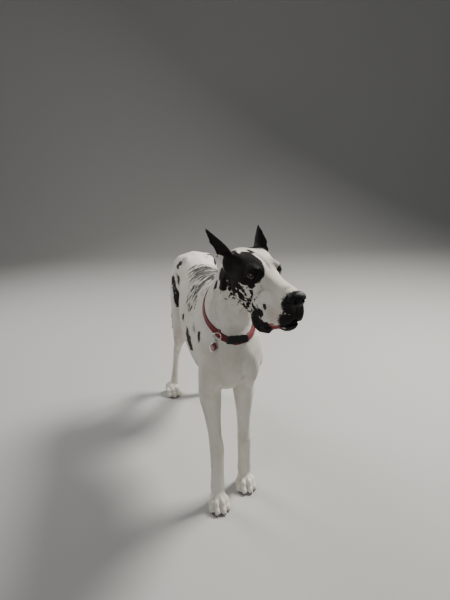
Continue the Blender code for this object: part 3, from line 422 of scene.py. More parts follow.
def add_ear(forms, side, sign):
    """A cropped ear: crescent sections on a gentle curve from root to tip, open to the side."""
    (root, tip), turn, turned = ear_ends(side), EAR_OPENS_OUT[side], head_matrix().to_3x3()
    opening = turned @ Vector((math.cos(turn), sign * math.sin(turn), 0))
    bend = (root + tip) / 2 + turned @ Vector((0, sign * 0.006, 0)) - opening * 0.006
    rings = []
    shares = np.linspace(-1, 1, 15)
    for share, half, depth, thick in spline(EAR, 6):
        point = root.lerp(bend, share).lerp(bend.lerp(tip, share), share)
        axis = (bend.lerp(tip, share) - root.lerp(bend, share)).normalized()
        front = (opening - axis * opening.dot(axis)).normalized()
        across = axis.cross(front) * sign
        back = [point + across * (half * a) - front * (depth * (1 - a * a)) for a in shares]
        rings.append(back + [point + across * (half * a * 0.93) - front * (
            depth * (1 - a * a) - thick * (1 - 0.40 * a * a)) for a in shares[::-1]])
    add_loft(forms, rings)


def add_head(forms):
    head = Forms()
    add_sections(head, SKULL, 2.6)
    add_sections(head, JAW, 2.2)
    add_muscle(head, *NOSE_PAD)
    for side in (-1, 1):
        add_sections(head, FLEW, 2.3, centre=side)
        for (forward, out, up), radii in HEAD_MUSCLES.values():
            add_muscle(head, (forward, side * out, up), radii)
        add_muscle(head, (EYE[0], side * EYE[1], EYE[2]), (0.0185,) * 3)
    forms.add(head.points, head.faces, head_matrix())
    for side, sign in SIDES:
        add_ear(forms, side, sign)

# %% [markdown]
# ## The skin
# A short-haired dog shows one unbroken skin over its muscles. The closed forms lap over one another, so a
# voxel remesh fuses them into one surface, a smoothing pass melts the joins, and moves of the points carve
# what is too fine for ovals: lids, lips, nostrils, ribs and tendons. It lies a coat's depth inside the
# solids, and one mesh takes the place of all the flesh nodes, ears included.

# %% Fusing the forms
COAT_DEPTH = 0.0012
VOXEL = 0.0025


def in_collection(name, mesh):
    obj = bpy.data.objects.new(name, mesh)
    bpy.context.scene.collection.objects.link(obj)
    return obj


def applied(obj):
    """The evaluated mesh takes the place of the object's mesh, and its modifiers go."""
    graph = bpy.context.evaluated_depsgraph_get()
    mesh = bpy.data.meshes.new_from_object(obj.evaluated_get(graph))
    obj.modifiers.clear()
    obj.data = mesh
    return obj


def fuse_forms():
    forms = Forms()
    add_trunk(forms)
    for side, leg in FORELEGS.items():
        add_foreleg(forms, side, leg)
    for side, leg in HINDLEGS.items():
        add_hindleg(forms, side, leg)
    add_head(forms)
    made = in_collection("skin", forms.mesh("skin"))
    fuse = made.modifiers.new("fuse", "REMESH")
    fuse.mode = "VOXEL"
    fuse.voxel_size = VOXEL
    return applied(made)


def points_of(mesh, what="co"):
    found = np.empty(len(mesh.vertices) * 3)
    mesh.vertices.foreach_get(what, found)
    return found.reshape(-1, 3)


def normals_of(mesh):
    return points_of(mesh, "normal")


def put_points(mesh, co):
    mesh.vertices.foreach_set("co", co.ravel())
    mesh.update()


def push_out(obj, push):
    """Moves each point along its normal."""
    put_points(obj.data, points_of(obj.data) + normals_of(obj.data) * push[:, None])


skin = fuse_forms()
told("fused", len(skin.data.vertices), "points")

# %% Melting the joins
def softness(co):
    """How far each point is smoothed: least on the ears, the paws and the face."""
    _, y, z = co.T
    soft = np.minimum(1.0, 0.22 + np.maximum(0, z - 0.38) * 8)
    soft = np.where((y < -0.19) & (z > 0.80), 0.16, soft)
    soft = np.where(z < 0.105, 0.42, soft)
    soft = np.where(z < 0.055, 0.26, soft)
    local = (co - np.array(HEAD_AT)) @ np.array(head_matrix().to_3x3())
    ear = (local[:, 2] > 0.058) & (local[:, 0] < -0.03)
    return np.where(ear, 0.03, soft)


def weight_by(obj, name, weights):
    group = obj.vertex_groups.new(name=name)
    steps = np.round(weights * 100).astype(int)
    for step in np.unique(steps):
        if step > 0:
            group.add([int(i) for i in np.nonzero(steps == step)[0]], step / 100, "REPLACE")


def melt(obj, weights, passes):
    weight_by(obj, "soft", weights)
    soften = obj.modifiers.new("soften", "SMOOTH")
    soften.factor, soften.iterations, soften.vertex_group = 0.5, passes, "soft"
    applied(obj)
    obj.vertex_groups.clear()


# smoothing spreads with the square of the spacing, so a finer mesh takes more passes than the solids did
melt(skin, softness(points_of(skin.data)), int(34 * (0.005 / VOXEL) ** 2))
skin.data.transform(Matrix.Translation((0, 0, -SINK)))
told("melted")

# %% Frames for the places on the head
HEAD = np.array(head_matrix().to_3x3())
HEAD_ZERO = np.array(HEAD_AT) - np.array((0, 0, SINK))


def to_head(co):
    """Points in the head's frame: forward, left and up from between the eyes."""
    return (co - HEAD_ZERO) @ HEAD


def from_head(local):
    return local @ HEAD.T + HEAD_ZERO


def head_way(*way):
    """A way of the head's frame in the dog's."""
    return from_head(np.array([way]))[0] - HEAD_ZERO


def eye_frame(sign):
    """The eye's centre, and rows along its gaze, outward and up, in the head's frame."""
    turn = sign * GAZE_OUT
    rows = np.array(((math.cos(turn), math.sin(turn), 0), (-math.sin(turn), math.cos(turn), 0), (0, 0, 1)))
    return np.array((EYE[0], sign * EYE[1], EYE[2])), rows


def refine(obj, centre, radius, times):
    """More points within a ball of the head's frame, for the fine features there."""
    middle = Vector(from_head(np.array(centre, float)[None])[0])
    for _ in range(times):
        with edited(obj.data) as bm:
            edges = [e for e in bm.edges if all((v.co - middle).length < radius for v in e.verts)]
            bmesh.ops.subdivide_edges(bm, edges=edges, cuts=1, use_grid_fill=True)


for sign in (-1, 1):
    refine(skin, (EYE[0] + 0.010, sign * (EYE[1] + 0.006), EYE[2]), 0.021, 2)
refine(skin, (0.150, 0, -0.012), 0.034, 1)
refine(skin, (0.120, 0, -0.085), 0.062, 1)
told("refined", len(skin.data.vertices), "points")

# %% Lids round the eyes
LID_HALF_WIDTH, LID_UP, LID_DOWN = 0.0122, 0.0068, 0.0066


def lid_measure(local, sign):
    """1 on the rim of the lids, less inside the opening, with the point's distance from the eye's centre."""
    centre, rows = eye_frame(sign)
    offset = (local - centre) @ rows.T
    reach = np.linalg.norm(offset, axis=1)
    on_ball = offset / np.maximum(reach, 1e-6)[:, None] * EYE_RADIUS
    out, up = on_ball[:, 1] * sign, on_ball[:, 2] + 0.0006 - on_ball[:, 1] * sign * 0.10
    high = np.where(up > 0, LID_UP, LID_DOWN)
    almond = np.abs(out) / LID_HALF_WIDTH
    rim = np.sqrt(almond ** 2.3 + (np.abs(up) / high) ** 2)
    return rim, reach, offset, up


def carve_lids(obj):
    co = points_of(obj.data)
    local = to_head(co)
    for sign in (-1, 1):
        centre, _ = eye_frame(sign)
        rim, reach, offset, up = lid_measure(local, sign)
        facing = smooth(0.15, 0.45, offset[:, 0] / np.maximum(reach, 1e-6)) * (reach < 0.032)
        near = smooth(1.80, 1.22, rim) * facing
        target = reach * (1 - near) + near * (EYE_RADIUS + 0.0016)
        target += facing * 0.0011 * bell((rim, 1.17, 0.13))
        target += facing * 0.0006 * bell((rim, 2.05, 0.30)) * (up > 0)
        target -= facing * 0.0008 * bell((rim, 1.62, 0.14))
        inside = smooth(1.06, 0.94, rim) * facing
        target = target * (1 - inside) + inside * (EYE_RADIUS - 0.0040)
        scale = np.where(reach > 1e-6, target / np.maximum(reach, 1e-6), 1.0)
        change = facing > 0
        local[change] = centre + (local[change] - centre) * scale[change][:, None]
    put_points(obj.data, from_head(local))


carve_lids(skin)


def settle_brows(obj):
    """Melts the step between the lids and the skull round them."""
    local = to_head(points_of(obj.data))
    weight = np.zeros(len(local))
    for sign in (-1, 1):
        rim, reach, offset, _ = lid_measure(local, sign)
        here = smooth(1.30, 1.60, rim) * smooth(0.034, 0.024, reach) * (offset[:, 0] > -0.004)
        weight = np.maximum(weight, here)
    melt(obj, weight, 40)


settle_brows(skin)

# %% Nose, mouth and flews
# the line of the mouth in side view: (forward, up)
MOUTH_LINE = mm([(175, -79), (145, -80), (116, -90), (88, -106), (50, -116), (20, -104)])


def carve_muzzle(obj):
    co = points_of(obj.data)
    local = to_head(co)
    f, l, u = local.T
    outward = to_head(normals_of(obj.data) + HEAD_ZERO)
    push = np.zeros(len(co))
    # nostrils: round pits that run back into a slit along the wing of the nose
    for sign in (-1, 1):
        s = l * sign
        pit = bell((s, 0.0115, 0.0058), (u, -0.0085, 0.0056), power=1.6)
        slit = bell((s - 0.0195 - (f - 0.158) * -0.35, 0, 0.0052),
                    (u + 0.0125 + (s - 0.0195) * 0.30, 0, 0.0024))
        front = (f > 0.140)
        push -= np.where(front & (f > 0.152), 0.0075 * pit, 0)
        push -= np.where(front, 0.0030 * slit, 0)
        push += np.where(front, 0.0012 * bell((s, 0.0165, 0.0075), (u, 0.0005, 0.0050)), 0)
    # groove between the nostrils down to the lip
    groove = bell((l, 0, 0.0016)) * smooth(0.001, -0.008, u) * smooth(-0.075, -0.066, u)
    push -= np.where(f > 0.128, 0.0022 * groove, 0)
    # the edge where the nose leather meets the muzzle
    edge = (f - 0.140) ** 2 / 0.0022 ** 2
    push -= np.where((u > -0.028) & (u < 0.02), 0.0009 * np.exp(-edge), 0)
    # the mouth: a groove under the flews with a rolled lip on either side
    line = np.array(sorted(MOUTH_LINE))
    drop = u - np.interp(f, line[:, 0], line[:, 1])
    at_mouth = smooth(0.012, 0.040, f) * (u < -0.05) * smooth(-0.4, 0.2, 1 - np.abs(outward[:, 2]))
    for height, centre, width in ((-0.0040, 0, 0.0020), (0.0012, 0.0055, 0.0028), (0.0010, -0.0055, 0.0026)):
        push += at_mouth * height * bell((drop, centre, width))
    # folds of the flews, and hollows in front of the cheeks and under the eyes
    fold = np.sin((f * 1.0 + u * 0.55) * 120 + 1.2) * smooth(-0.035, -0.075, u) * smooth(0.020, 0.050, f)
    push += np.where(np.abs(l) > 0.022, 0.0011 * fold * smooth(0.140, 0.110, f), 0)
    for sign in (-1, 1):
        s = l * sign
        push -= 0.0024 * bell((f, 0.030, 0.016), (u, -0.012, 0.011)) * (s > 0.01)
        push += 0.0016 * bell((f, 0.062, 0.030), (u + 0.006 + (f - 0.062) * 0.12, 0, 0.006)) * (s > 0.01)
        push -= 0.0020 * bell((f, -0.006, 0.020), (s, 0.050, 0.02), (u, -0.030, 0.008))
    # furrow up the middle of the forehead, and the bump at the back of the skull
    push -= 0.0026 * bell((l, 0, 0.0050)) * smooth(0.030, 0.005, f) * smooth(-0.100, -0.060, f) * (u > 0)
    push += 0.0020 * np.exp(-((f + 0.150) ** 2 + l ** 2) / 0.018 ** 2) * (u > 0)
    push_out(obj, push)


carve_muzzle(skin)
told("head carved")

# %% Ribs, muscle edges, tendons and veins
def bone_line(co, a, b, width):
    """A soft ridge along a straight bone or tendon from a to b, 1 at its middle."""
    a, b = np.array(a), np.array(b)
    span = b - a
    t = np.clip(((co - a) @ span) / (span @ span), 0, 1)
    away = np.linalg.norm(co - a - t[:, None] * span, axis=1)
    return np.exp(-(away / width) ** 2) * np.sin(np.pi * np.clip(t * 0.96 + 0.02, 0, 1)) ** 0.5


# each line runs from one place to another, as a ridge or, where its height is minus, as a groove: (height
# in metres, joint, offset from it, joint, offset from it, width), the rest in mm with outward positive
BONE_LINES = {
    "trunk": [  # edges of the shoulder blade, triceps, breast bone's groove, and the neck's edges
        (0.0020, "", (75, -15, 815), "", (105, -85, 665), 9),
        (-0.0022, "", (90, 30, 790), "", (115, 30, 600), 12),
        (-0.0018, "", (95, -100, 600), "", (100, -30, 540), 9),
        (0.0014, "", (30, -175, 800), "", (52, -170, 900), 10),
        (-0.0016, "", (55, -90, 860), "", (68, -150, 770), 8)],
    "foreleg": [  # bone along the inside, muscle bellies in front, a tendon behind, and the two wrist bones
        (-0.0016, "elbow", (28, -20, 20), "carpus", (20, -6, 30), 5),
        (0.0012, "elbow", (20, -36, 10), "carpus", (14, -20, 50), 9),
        (-0.0014, "elbow", (20, 26, -30), "carpus", (16, 20, 30), 5),
        (0.0012, "carpus", (10, -26, -20), "paw", (6, -10, 75), 4),
        (0.0012, "carpus", (-8, -26, -20), "paw", (-8, -10, 75), 4),
        (-0.0014, "carpus", (22, 10, -20), "paw", (22, 24, 85), 5)],
    "hindleg": [  # between the thigh's muscles, edge of the hamstring, hollow by the tendon, a vein, pastern
        (-0.0024, "hip", (48, 20, -30), "stifle", (40, 30, 50), 10),
        (-0.0018, "hip", (46, 85, -40), "stifle", (34, 90, 20), 8),
        (-0.0022, "stifle", (26, 85, -30), "hock", (14, 0, 45), 7),
        (0.0013, "stifle", (36, 30, -60), "hock", (20, -20, 70), 4.5),
        (0.0012, "hock", (12, -22, -20), "paw", (0, -8, 80), 4)],
}


def bone_lines(co, push, lines, sign, joints):
    """Adds one side's ridges and grooves, set out from its joints."""
    for height, start, a, end, b, width in lines:
        a, b = [np.array((*joints[name], 0))[:3] + np.array(mm(offset)) * (sign, 1, 1)
                for name, offset in ((start, a), (end, b))]
        push = push + height * bone_line(co, a, b, width / 1000)
    return push


def carve_body(obj):
    co = points_of(obj.data)
    x, y, z = co.T
    side = np.abs(x + 0.004)
    push = np.zeros(len(co))
    # ribs slant back and down the barrel
    barrel = smooth(0.060, 0.130, y) * smooth(0.400, 0.310, y) * smooth(0.045, 0.085, side)
    barrel *= smooth(0.47, 0.53, z) * smooth(0.76, 0.68, z)
    push += 0.0014 * barrel * np.cos((y - (0.70 - z) * 0.42) * 2 * math.pi / 0.030)
    # spine and hip bones show through, with a shallow groove beside them
    spine = smooth(0.12, 0.25, y) * smooth(0.66, 0.58, y) * (z > 0.78)
    push += 0.0012 * spine * bell((side, 0, 0.008)) * (0.6 + 0.4 * np.cos(y * 2 * math.pi / 0.034))
    push -= 0.0012 * spine * bell((side, 0.022, 0.010))
    for side_sign in (-1, 1):
        push = bone_lines(co, push, BONE_LINES["trunk"], side_sign, {"": (0, 0, 0)})
    for name, leg in FORELEGS.items():
        push = bone_lines(co, push, BONE_LINES["foreleg"], SIGN[name], leg)
    for name, leg in HINDLEGS.items():
        push = bone_lines(co, push, BONE_LINES["hindleg"], SIGN[name], leg)
    # breast muscles on either side of the breast bone, and a hollow between each and the arm
    front = smooth(0.15, 0.55, -normals_of(obj.data)[:, 1]) * smooth(-0.06, -0.11, y)
    breast = np.abs(x - 0.004)
    for height, centre, width, rise, fall in ((-0.0050, 0, 0.0085, (0.50, 0.54), (0.73, 0.68)),
                                              (0.0042, 0.036, 0.018, (0.52, 0.57), (0.71, 0.65)),
                                              (-0.0060, 0.078, 0.011, (0.50, 0.54), (0.69, 0.63))):
        push += height * front * bell((breast, centre, width)) * smooth(*rise, z) * smooth(*fall, z)
    # two shallow folds of loose skin across the throat
    throat = smooth(-0.12, -0.17, y) * smooth(0.80, 0.83, z) * smooth(0.93, 0.88, z)
    throat *= to_head(co)[:, 0] < -0.06
    push += 0.0012 * throat * np.sin((z + np.abs(x - 0.01) * 0.8) * 2 * math.pi / 0.034)
    # creases run down from behind the jaw and meet above the collar, each between soft rolls of skin;
    # each row has its turn round the neck at the top and the bottom, those two heights and its depth
    middle_y = -0.040 - (z - 0.715) * 0.497
    turn = np.degrees(np.arctan2(x, middle_y - y))
    loose = (y < middle_y) & (to_head(co)[:, 0] < -0.070)
    for top, low, high_z, low_z, deep in ((-40, -6, 0.915, 0.792, 0.0050), (24, -2, 0.850, 0.800, 0.0034),
                                          (-66, -40, 0.880, 0.790, 0.0030)):
        share = np.clip((z - low_z) / (high_z - low_z), 0, 1)
        off = (turn - low - (top - low) * share) * 0.0014
        span = loose * smooth(low_z - 0.012, low_z + 0.006, z) * smooth(high_z + 0.012, high_z - 0.012, z)
        push -= deep * span * bell((off, 0, 0.0046))
        push += 0.6 * deep * span * bell((np.abs(off), 0.012, 0.0075))
    push_out(obj, push)


def carve_paws(obj):
    """Deeper gaps between the toes and pads than the fused ovals leave."""
    co = points_of(obj.data)
    push = np.zeros(len(co))
    for table, scale in ((FORELEGS, 1.0), (HINDLEGS, HIND_PAW_SCALE)):
        for name, leg in table.items():
            a = math.radians(leg["toe_out"] * (SIGN[name] if table is FORELEGS else 1))
            x, y = co[:, 0] - leg["paw"][0], co[:, 1] - leg["paw"][1]
            px, py = (x * math.cos(a) - y * math.sin(a)) / scale, (x * math.sin(a) + y * math.cos(a)) / scale
            here = (np.abs(px) < 0.05) & (py < 0.030) & (py > -0.065) & (co[:, 2] < 0.062)
            rise = smooth(0.060, 0.040, co[:, 2]) * smooth(0.012, -0.012, py)
            for gap, wide in ((0.0, 0.0026), (-0.0215, 0.0024), (0.0215, 0.0024)):
                lean = gap * (1 + 6 * (-0.02 - py))
                push -= here * rise * 0.0034 * bell((px, lean, wide))
            push += here * rise * 0.0010 * bell((py, -0.030, 0.008)) * (co[:, 2] > 0.02)
    push_out(obj, push)


carve_body(skin)
carve_paws(skin)
told("body carved")

# %% Flat soles, a coat's depth inside, and a lighter mesh
def settle(obj):
    co = points_of(obj.data)
    co -= normals_of(obj.data) * COAT_DEPTH * (co[:, 2] > 0.012)[:, None]
    co[:, 2] = np.maximum(co[:, 2], 0.0004)
    put_points(obj.data, co + np.array(SHIFT))


def lighten(obj, triangles):
    """Fewer points on the broad body, all of them kept on the face and most on the paws."""
    co = points_of(obj.data) - np.array(SHIFT)
    local = to_head(co)
    keep = np.where(local[:, 0] > -0.05, 0.02, 1.0)
    keep = np.where((local[:, 0] <= -0.05) & (local[:, 2] > -0.12) & (co[:, 1] < -0.12), 0.35, keep)
    keep = np.where(co[:, 2] < 0.09, 0.35, keep)
    weight_by(obj, "thin", keep)
    thin = obj.modifiers.new("thin", "DECIMATE")
    thin.ratio = triangles / (2 * len(obj.data.polygons))
    thin.vertex_group, thin.vertex_group_factor = "thin", 1.0
    thin.use_collapse_triangulate = True
    applied(obj)
    obj.vertex_groups.clear()


settle(skin)
lighten(skin, 190000)
skin.data.shade_smooth()
told("skin", len(skin.data.vertices), "points", len(skin.data.polygons), "faces")

# %% [markdown]
# ## Markings
# A harlequin coat is white with torn black patches and a few grey ones. An image would be the quick way,
# but a pattern that the object carries in itself is sharper and can be read from any side. Each patch is a
# named oval at its place on the body. The distance to the nearest edge is kept at every point of the skin,
# and the material breaks that edge up with noise before it cuts it off, so that the edges are torn and
# crisp.

# %% Patches, by name
# (x, y, z, and the three radii) in mm in the dog's frame; x is signed, so the sides differ
BLACK_PATCHES = {
    "thigh, upper": (-82, 520, 792, 30, 30, 30), "thigh, middle": (-105, 575, 715, 30, 34, 26),
    "thigh, front": (-100, 470, 742, 30, 30, 20), "thigh, low": (-108, 520, 650, 30, 40, 44),
    "thigh, back edge": (-110, 655, 585, 35, 22, 50), "thigh, small": (-112, 610, 540, 22, 16, 14),
    "flank spot": (-112, 395, 690, 22, 18, 15), "barrel, low": (-125, 250, 560, 35, 42, 26),
    "shoulder oval": (-103, -78, 702, 24, 19, 22), "shoulder edge": (-118, 66, 632, 34, 36, 52),
    "shoulder, behind": (-122, 140, 690, 26, 18, 20), "neck streak": (-50, -132, 882, 18, 11, 18),
    "behind the ear": (-40, -160, 925, 24, 24, 26), "back of the jaw": (-40, -172, 893, 18, 18, 20),
    "nape": (10, -120, 955, 26, 20, 18), "tail, middle": (-82, 806, 600, 30, 30, 36),
    "tail, low": (-90, 838, 480, 30, 30, 34), "tail tip": (-93, 884, 370, 30, 30, 26),
    "hock": (-92, 830, 300, 16, 18, 20), "rump, left": (72, 545, 805, 34, 46, 30),
    "rump, left tail of it": (85, 600, 775, 26, 44, 18), "thigh, left": (110, 600, 672, 40, 50, 34),
    "thigh, left lower lobe": (112, 628, 610, 34, 26, 50), "thigh, left low": (100, 545, 520, 30, 30, 36),
    "left loin": (94, 412, 774, 32, 34, 20), "left loin, low": (102, 446, 735, 22, 18, 26),
    "left barrel": (125, 235, 664, 40, 50, 30), "left barrel, front lobe": (125, 182, 632, 36, 32, 38),
    "left barrel, fleck": (122, 272, 618, 22, 12, 18), "left barrel, low": (110, 120, 520, 30, 34, 26),
    "left ribs": (118, 320, 610, 30, 28, 20), "left shoulder": (108, 12, 752, 34, 40, 24),
    "left shoulder, low": (112, -20, 715, 28, 22, 36), "left arm": (110, -60, 600, 26, 20, 30),
    "left neck": (75, -110, 850, 30, 30, 32), "left neck, low": (88, -60, 800, 20, 18, 16),
    "left second thigh": (98, 650, 420, 22, 22, 26), "belly": (30, 300, 500, 26, 30, 30),
}
GREY_PATCHES = {
    "shoulder smudge": (-112, -26, 694, 24, 20, 24), "shoulder tick": (-110, 10, 716, 12, 6, 8),
    "loin": (-20, 290, 835, 55, 60, 30), "back": (-50, 190, 825, 45, 60, 30),
    "croup": (-60, 500, 825, 18, 22, 18), "left foreleg": (46, 0, 315, 10, 10, 11),
    "left haunch": (90, 690, 740, 30, 32, 30), "left ribs, high": (105, 170, 760, 28, 34, 26),
}
# (forward, left, up, and the three radii) in mm in the head's frame; the right side has a minus
HEAD_PATCHES = {
    "eye patch, front": (2, -30, 16, 30, 25, 30), "eye patch, upper front": (-16, -24, 34, 30, 20, 20),
    "eye patch, middle": (-30, -40, 18, 46, 40, 44), "eye patch, back": (-76, -54, 4, 46, 40, 52),
    "eye patch, top": (-48, -22, 42, 42, 20, 20), "under the eye": (4, -46, -14, 14, 14, 12),
    "behind the right ear": (-130, -56, -8, 32, 28, 42),
    "right ear, back of its base": (-142, -48, 22, 34, 28, 26),
    "behind the jaw": (-120, -62, -50, 20, 22, 22), "cheek, back": (-74, -60, -48, 26, 20, 20),
    "cheek, ragged": (-40, -58, -30, 14, 14, 10), "flew spot": (72, -44, -51, 8.5, 12, 8.5),
    "flew, torn top": (32, -48, -72, 14, 12, 7), "flew, torn middle": (34, -48, -90, 20, 14, 9),
    "flew blotch": (50, -46, -76, 14, 14, 12), "flew blotch, low": (36, -47, -94, 18, 14, 14),
    "flew, rear edge": (42, -42, -118, 46, 26, 27), "flew, lower edge": (92, -36, -112, 52, 30, 21),
    "lower jaw": (95, 0, -116, 72, 50, 32), "nose and lip": (156, 0, -20, 34, 60, 36),
    "upper lip": (142, 0, -68, 25, 60, 30), "left eye": (4, 40, 8, 30, 20, 20),
    "left eye, below": (22, 38, -10, 16, 14, 16), "left cheek": (-74, 60, -22, 34, 24, 22),
    "left cheek, low": (-50, 58, -56, 18, 20, 22), "left flew": (50, 46, -105, 40, 20, 26),
    "left muzzle": (80, 40, -40, 12, 12, 10), "left ear base": (-100, 50, 34, 30, 26, 22),
    "right ear base": (-104, -52, 30, 30, 26, 30), "skull streak": (-75, 0, 50, 26, 6, 10),
}
HEAD_GREYS = {
    "left eye smudge": (4, 36, 36, 30, 22, 20), "bridge specks": (112, -8, 10, 12, 8, 6),
}

# %% Distances kept on the skin
def nearest_edge(points, patches):
    """Metres outside (+) or inside (-) the nearest of the ovals, for arrays of points."""
    best = np.full(len(points), 1.0)
    for row in patches.values():
        centre, radii = np.split(np.array(row) / 1000, 2)
        best = np.minimum(best, (np.linalg.norm((points - centre) / radii, axis=1) - 1) * radii.min())
    return best


def ear_share(local):
    """How far up the ear of its own side each point lies, below 0 off the ears."""
    share = np.full(len(local), -1.0)
    for side, sign in SIDES:
        root = np.array((EAR_ROOT[0], sign * EAR_ROOT[1], EAR_ROOT[2]))
        tip = to_head(np.array(EAR_TIPS[side])[None])[0]
        t = (local - root) @ (tip - root) / ((tip - root) @ (tip - root))
        away = np.linalg.norm(local - root - np.clip(t, 0, 1)[:, None] * (tip - root), axis=1)
        near = (away < 0.042) & (local[:, 1] * sign > 0) & (local[:, 2] > 0.030) & (t > 0.10)
        share = np.where(near, t, share)
    return share


def ear_way(side):
    """The root of an ear and the unit way up it."""
    root, tip = map(np.array, ear_ends(side))
    return root, (tip - root) / np.linalg.norm(tip - root)


def inside_ear(dog, local, normals, share):
    """1 in the open cup of each ear, where the hair is thin."""
    cup = np.zeros(len(dog))
    for side, sign in SIDES:
        root, up_ear = ear_way(side)
        turn = sign * EAR_OPENS_OUT[side]
        opens = head_way(math.cos(turn), math.sin(turn), 0)
        opens -= up_ear * (opens @ up_ear)
        opens /= np.linalg.norm(opens)
        middle = (dog - root) @ opens
        here = (share > 0.10) & (local[:, 1] * sign > 0)
        here = here * smooth(0.25, 0.60, normals @ opens) * smooth(0.012, 0.004, np.abs(middle))
        cup = np.maximum(cup, here)
    return cup


def lip_rim(local):
    """1 on the bare rims of the lips and lids."""
    line = np.array(sorted(MOUTH_LINE))
    drop = local[:, 2] - np.interp(local[:, 0], line[:, 0], line[:, 1])
    rim = smooth(0.0062, 0.0036, np.abs(drop)) * smooth(0.010, 0.035, local[:, 0])
    for sign in (-1, 1):
        measure, reach, offset, _ = lid_measure(local, sign)
        rim = np.maximum(rim, smooth(1.34, 1.20, measure) * (offset[:, 0] > 0) * (reach < 0.020))
    return rim


def keep_on_points(mesh, name, values):
    if name in mesh.attributes:
        mesh.attributes.remove(mesh.attributes[name])
    vector = values.ndim == 2
    layer = mesh.attributes.new(name, "FLOAT_VECTOR" if vector else "FLOAT", "POINT")
    layer.data.foreach_set("vector" if vector else "value", values.astype(np.float32).ravel())


dog = points_of(skin.data) - np.array(SHIFT)
normals = normals_of(skin.data)
local = to_head(dog)
ahead, leftward, above = local.T
share = ear_share(local)
on_ear = share > 0.10
on_head = (ahead > -0.120) & (above > -0.160) & (dog[:, 1] < -0.13) | on_ear
cup = inside_ear(dog, local, normals, share)
rim = lip_rim(local) * on_head

black = nearest_edge(dog, BLACK_PATCHES)
black = np.where(on_head, np.minimum(nearest_edge(local, HEAD_PATCHES), black), black)
# a blaze keeps the middle of the forehead and the bridge of the nose white
blaze = smooth(0.021, 0.015, np.abs(leftward - 0.012)) * smooth(0.128, 0.118, ahead)
blaze *= (above > 0) & (ahead > -0.060) & on_head & ~on_ear
black = np.where(blaze > 0.5, np.maximum(black, 0.014), black)
black = np.where(on_ear, np.minimum(black, -0.020 * smooth(0.10, 0.22, share)), black)
grey = nearest_edge(dog, GREY_PATCHES)
grey = np.where(on_head, np.minimum(grey, nearest_edge(local, HEAD_GREYS)), grey)

# small ticks: thick on the cheek, sparse on the body, none on the paws
x, y, z = dog.T
ticks = 0.04 + 0.08 * smooth(0.10, 0.26, y)
cheek = bell((ahead, -0.036, 0.080), (above, -0.068, 0.056), power=2)
ticks = np.where(on_head, np.maximum(0.10, cheek * np.where(leftward < 0, 1.16, 0.8)), ticks)
# torn dark streaks lie across the back
streaks = smooth(0.775, 0.815, z) * smooth(0.03, 0.09, y) * smooth(0.42, 0.34, y)
on_flank = 0.9 * smooth(0.68, 0.75, z) * smooth(-0.01, 0.05, y) * smooth(0.22, 0.14, y) * (x < 0)
streaks = np.maximum(streaks, on_flank)
leather = np.maximum(smooth(0.1365, 0.1405, ahead) * smooth(-0.036, -0.031, above),
                     smooth(0.0165, 0.0150, np.linalg.norm(local - (0.150, 0, -0.030), axis=1)))
leather *= on_head & ~on_ear
pads = smooth(0.0075, 0.0045, z)
muzzle = bell((ahead, 0.100, 0.026), (above, -0.060, 0.026))
pink = np.where(on_head, 0.65 * muzzle, 0.55 * smooth(0.53, 0.48, z) * smooth(0.32, 0.44, y) * (y < 0.60))
inner_lip = bell((ahead, 0.104, 0.0155), (above, -0.097, 0.0120), power=2) * on_head
stain = bell((ahead - 0.036 - (above + 0.020) * -0.3, 0, 0.009), (above, -0.022, 0.018)) * on_head
tear = np.where(on_head, 0.42, 1.0)
for calm in ((-0.103, -0.078, 0.702), (-0.112, -0.024, 0.694), (-0.050, -0.130, 0.884)):
    tear = np.where(np.linalg.norm(dog - calm, axis=1) < 0.042, 0.35, tear)
# black hairs run out into white on the muzzle
feather = on_head * smooth(0.100, 0.112, ahead) * (above > -0.090)
for name, values in (("black", black), ("grey", grey), ("ticks", ticks), ("streaks", streaks),
                     ("leather", np.maximum(leather, pads)), ("rim", rim),
                     ("pink", np.maximum(pink, 0.8 * cup)),
                     ("inner_lip", inner_lip * (leftward < 0)), ("stain", stain),
                     ("tear", tear), ("feather", feather * 1.0)):
    keep_on_points(skin.data, name, values)
print("points in black patches", int((black < 0).sum()), "of", len(black))

# %% The way the coat lies
def nearest_stretch(points, stations):
    """Distance to a chain of places, its nearest stretch's direction, the spot on it and the share along."""
    best, share = np.full(len(points), 9.0), np.zeros(len(points))
    way, spot = np.zeros((2, len(points), 3))
    stations = [np.array(s, float) for s in stations]
    lengths = [np.linalg.norm(b - a) for a, b in zip(stations, stations[1:])]
    before = 0.0
    for a, b, length in zip(stations, stations[1:], lengths):
        t = np.clip((points - a) @ (b - a) / length ** 2, 0, 1)
        on_line = a + t[:, None] * (b - a)
        away = np.linalg.norm(points - on_line, axis=1)
        near = away < best
        best[near], way[near], spot[near] = away[near], (b - a) / length, on_line[near]
        share[near] = (before + t[near] * length) / sum(lengths)
        before += length
    return best, way, spot, share


TAIL_LINE = [t[:3] for t in TAIL]
tail_reach, tail_way, _, _ = nearest_stretch(dog, TAIL_LINE)
on_tail = (tail_reach < 0.036) & (y > 0.700) & (z < 0.79)


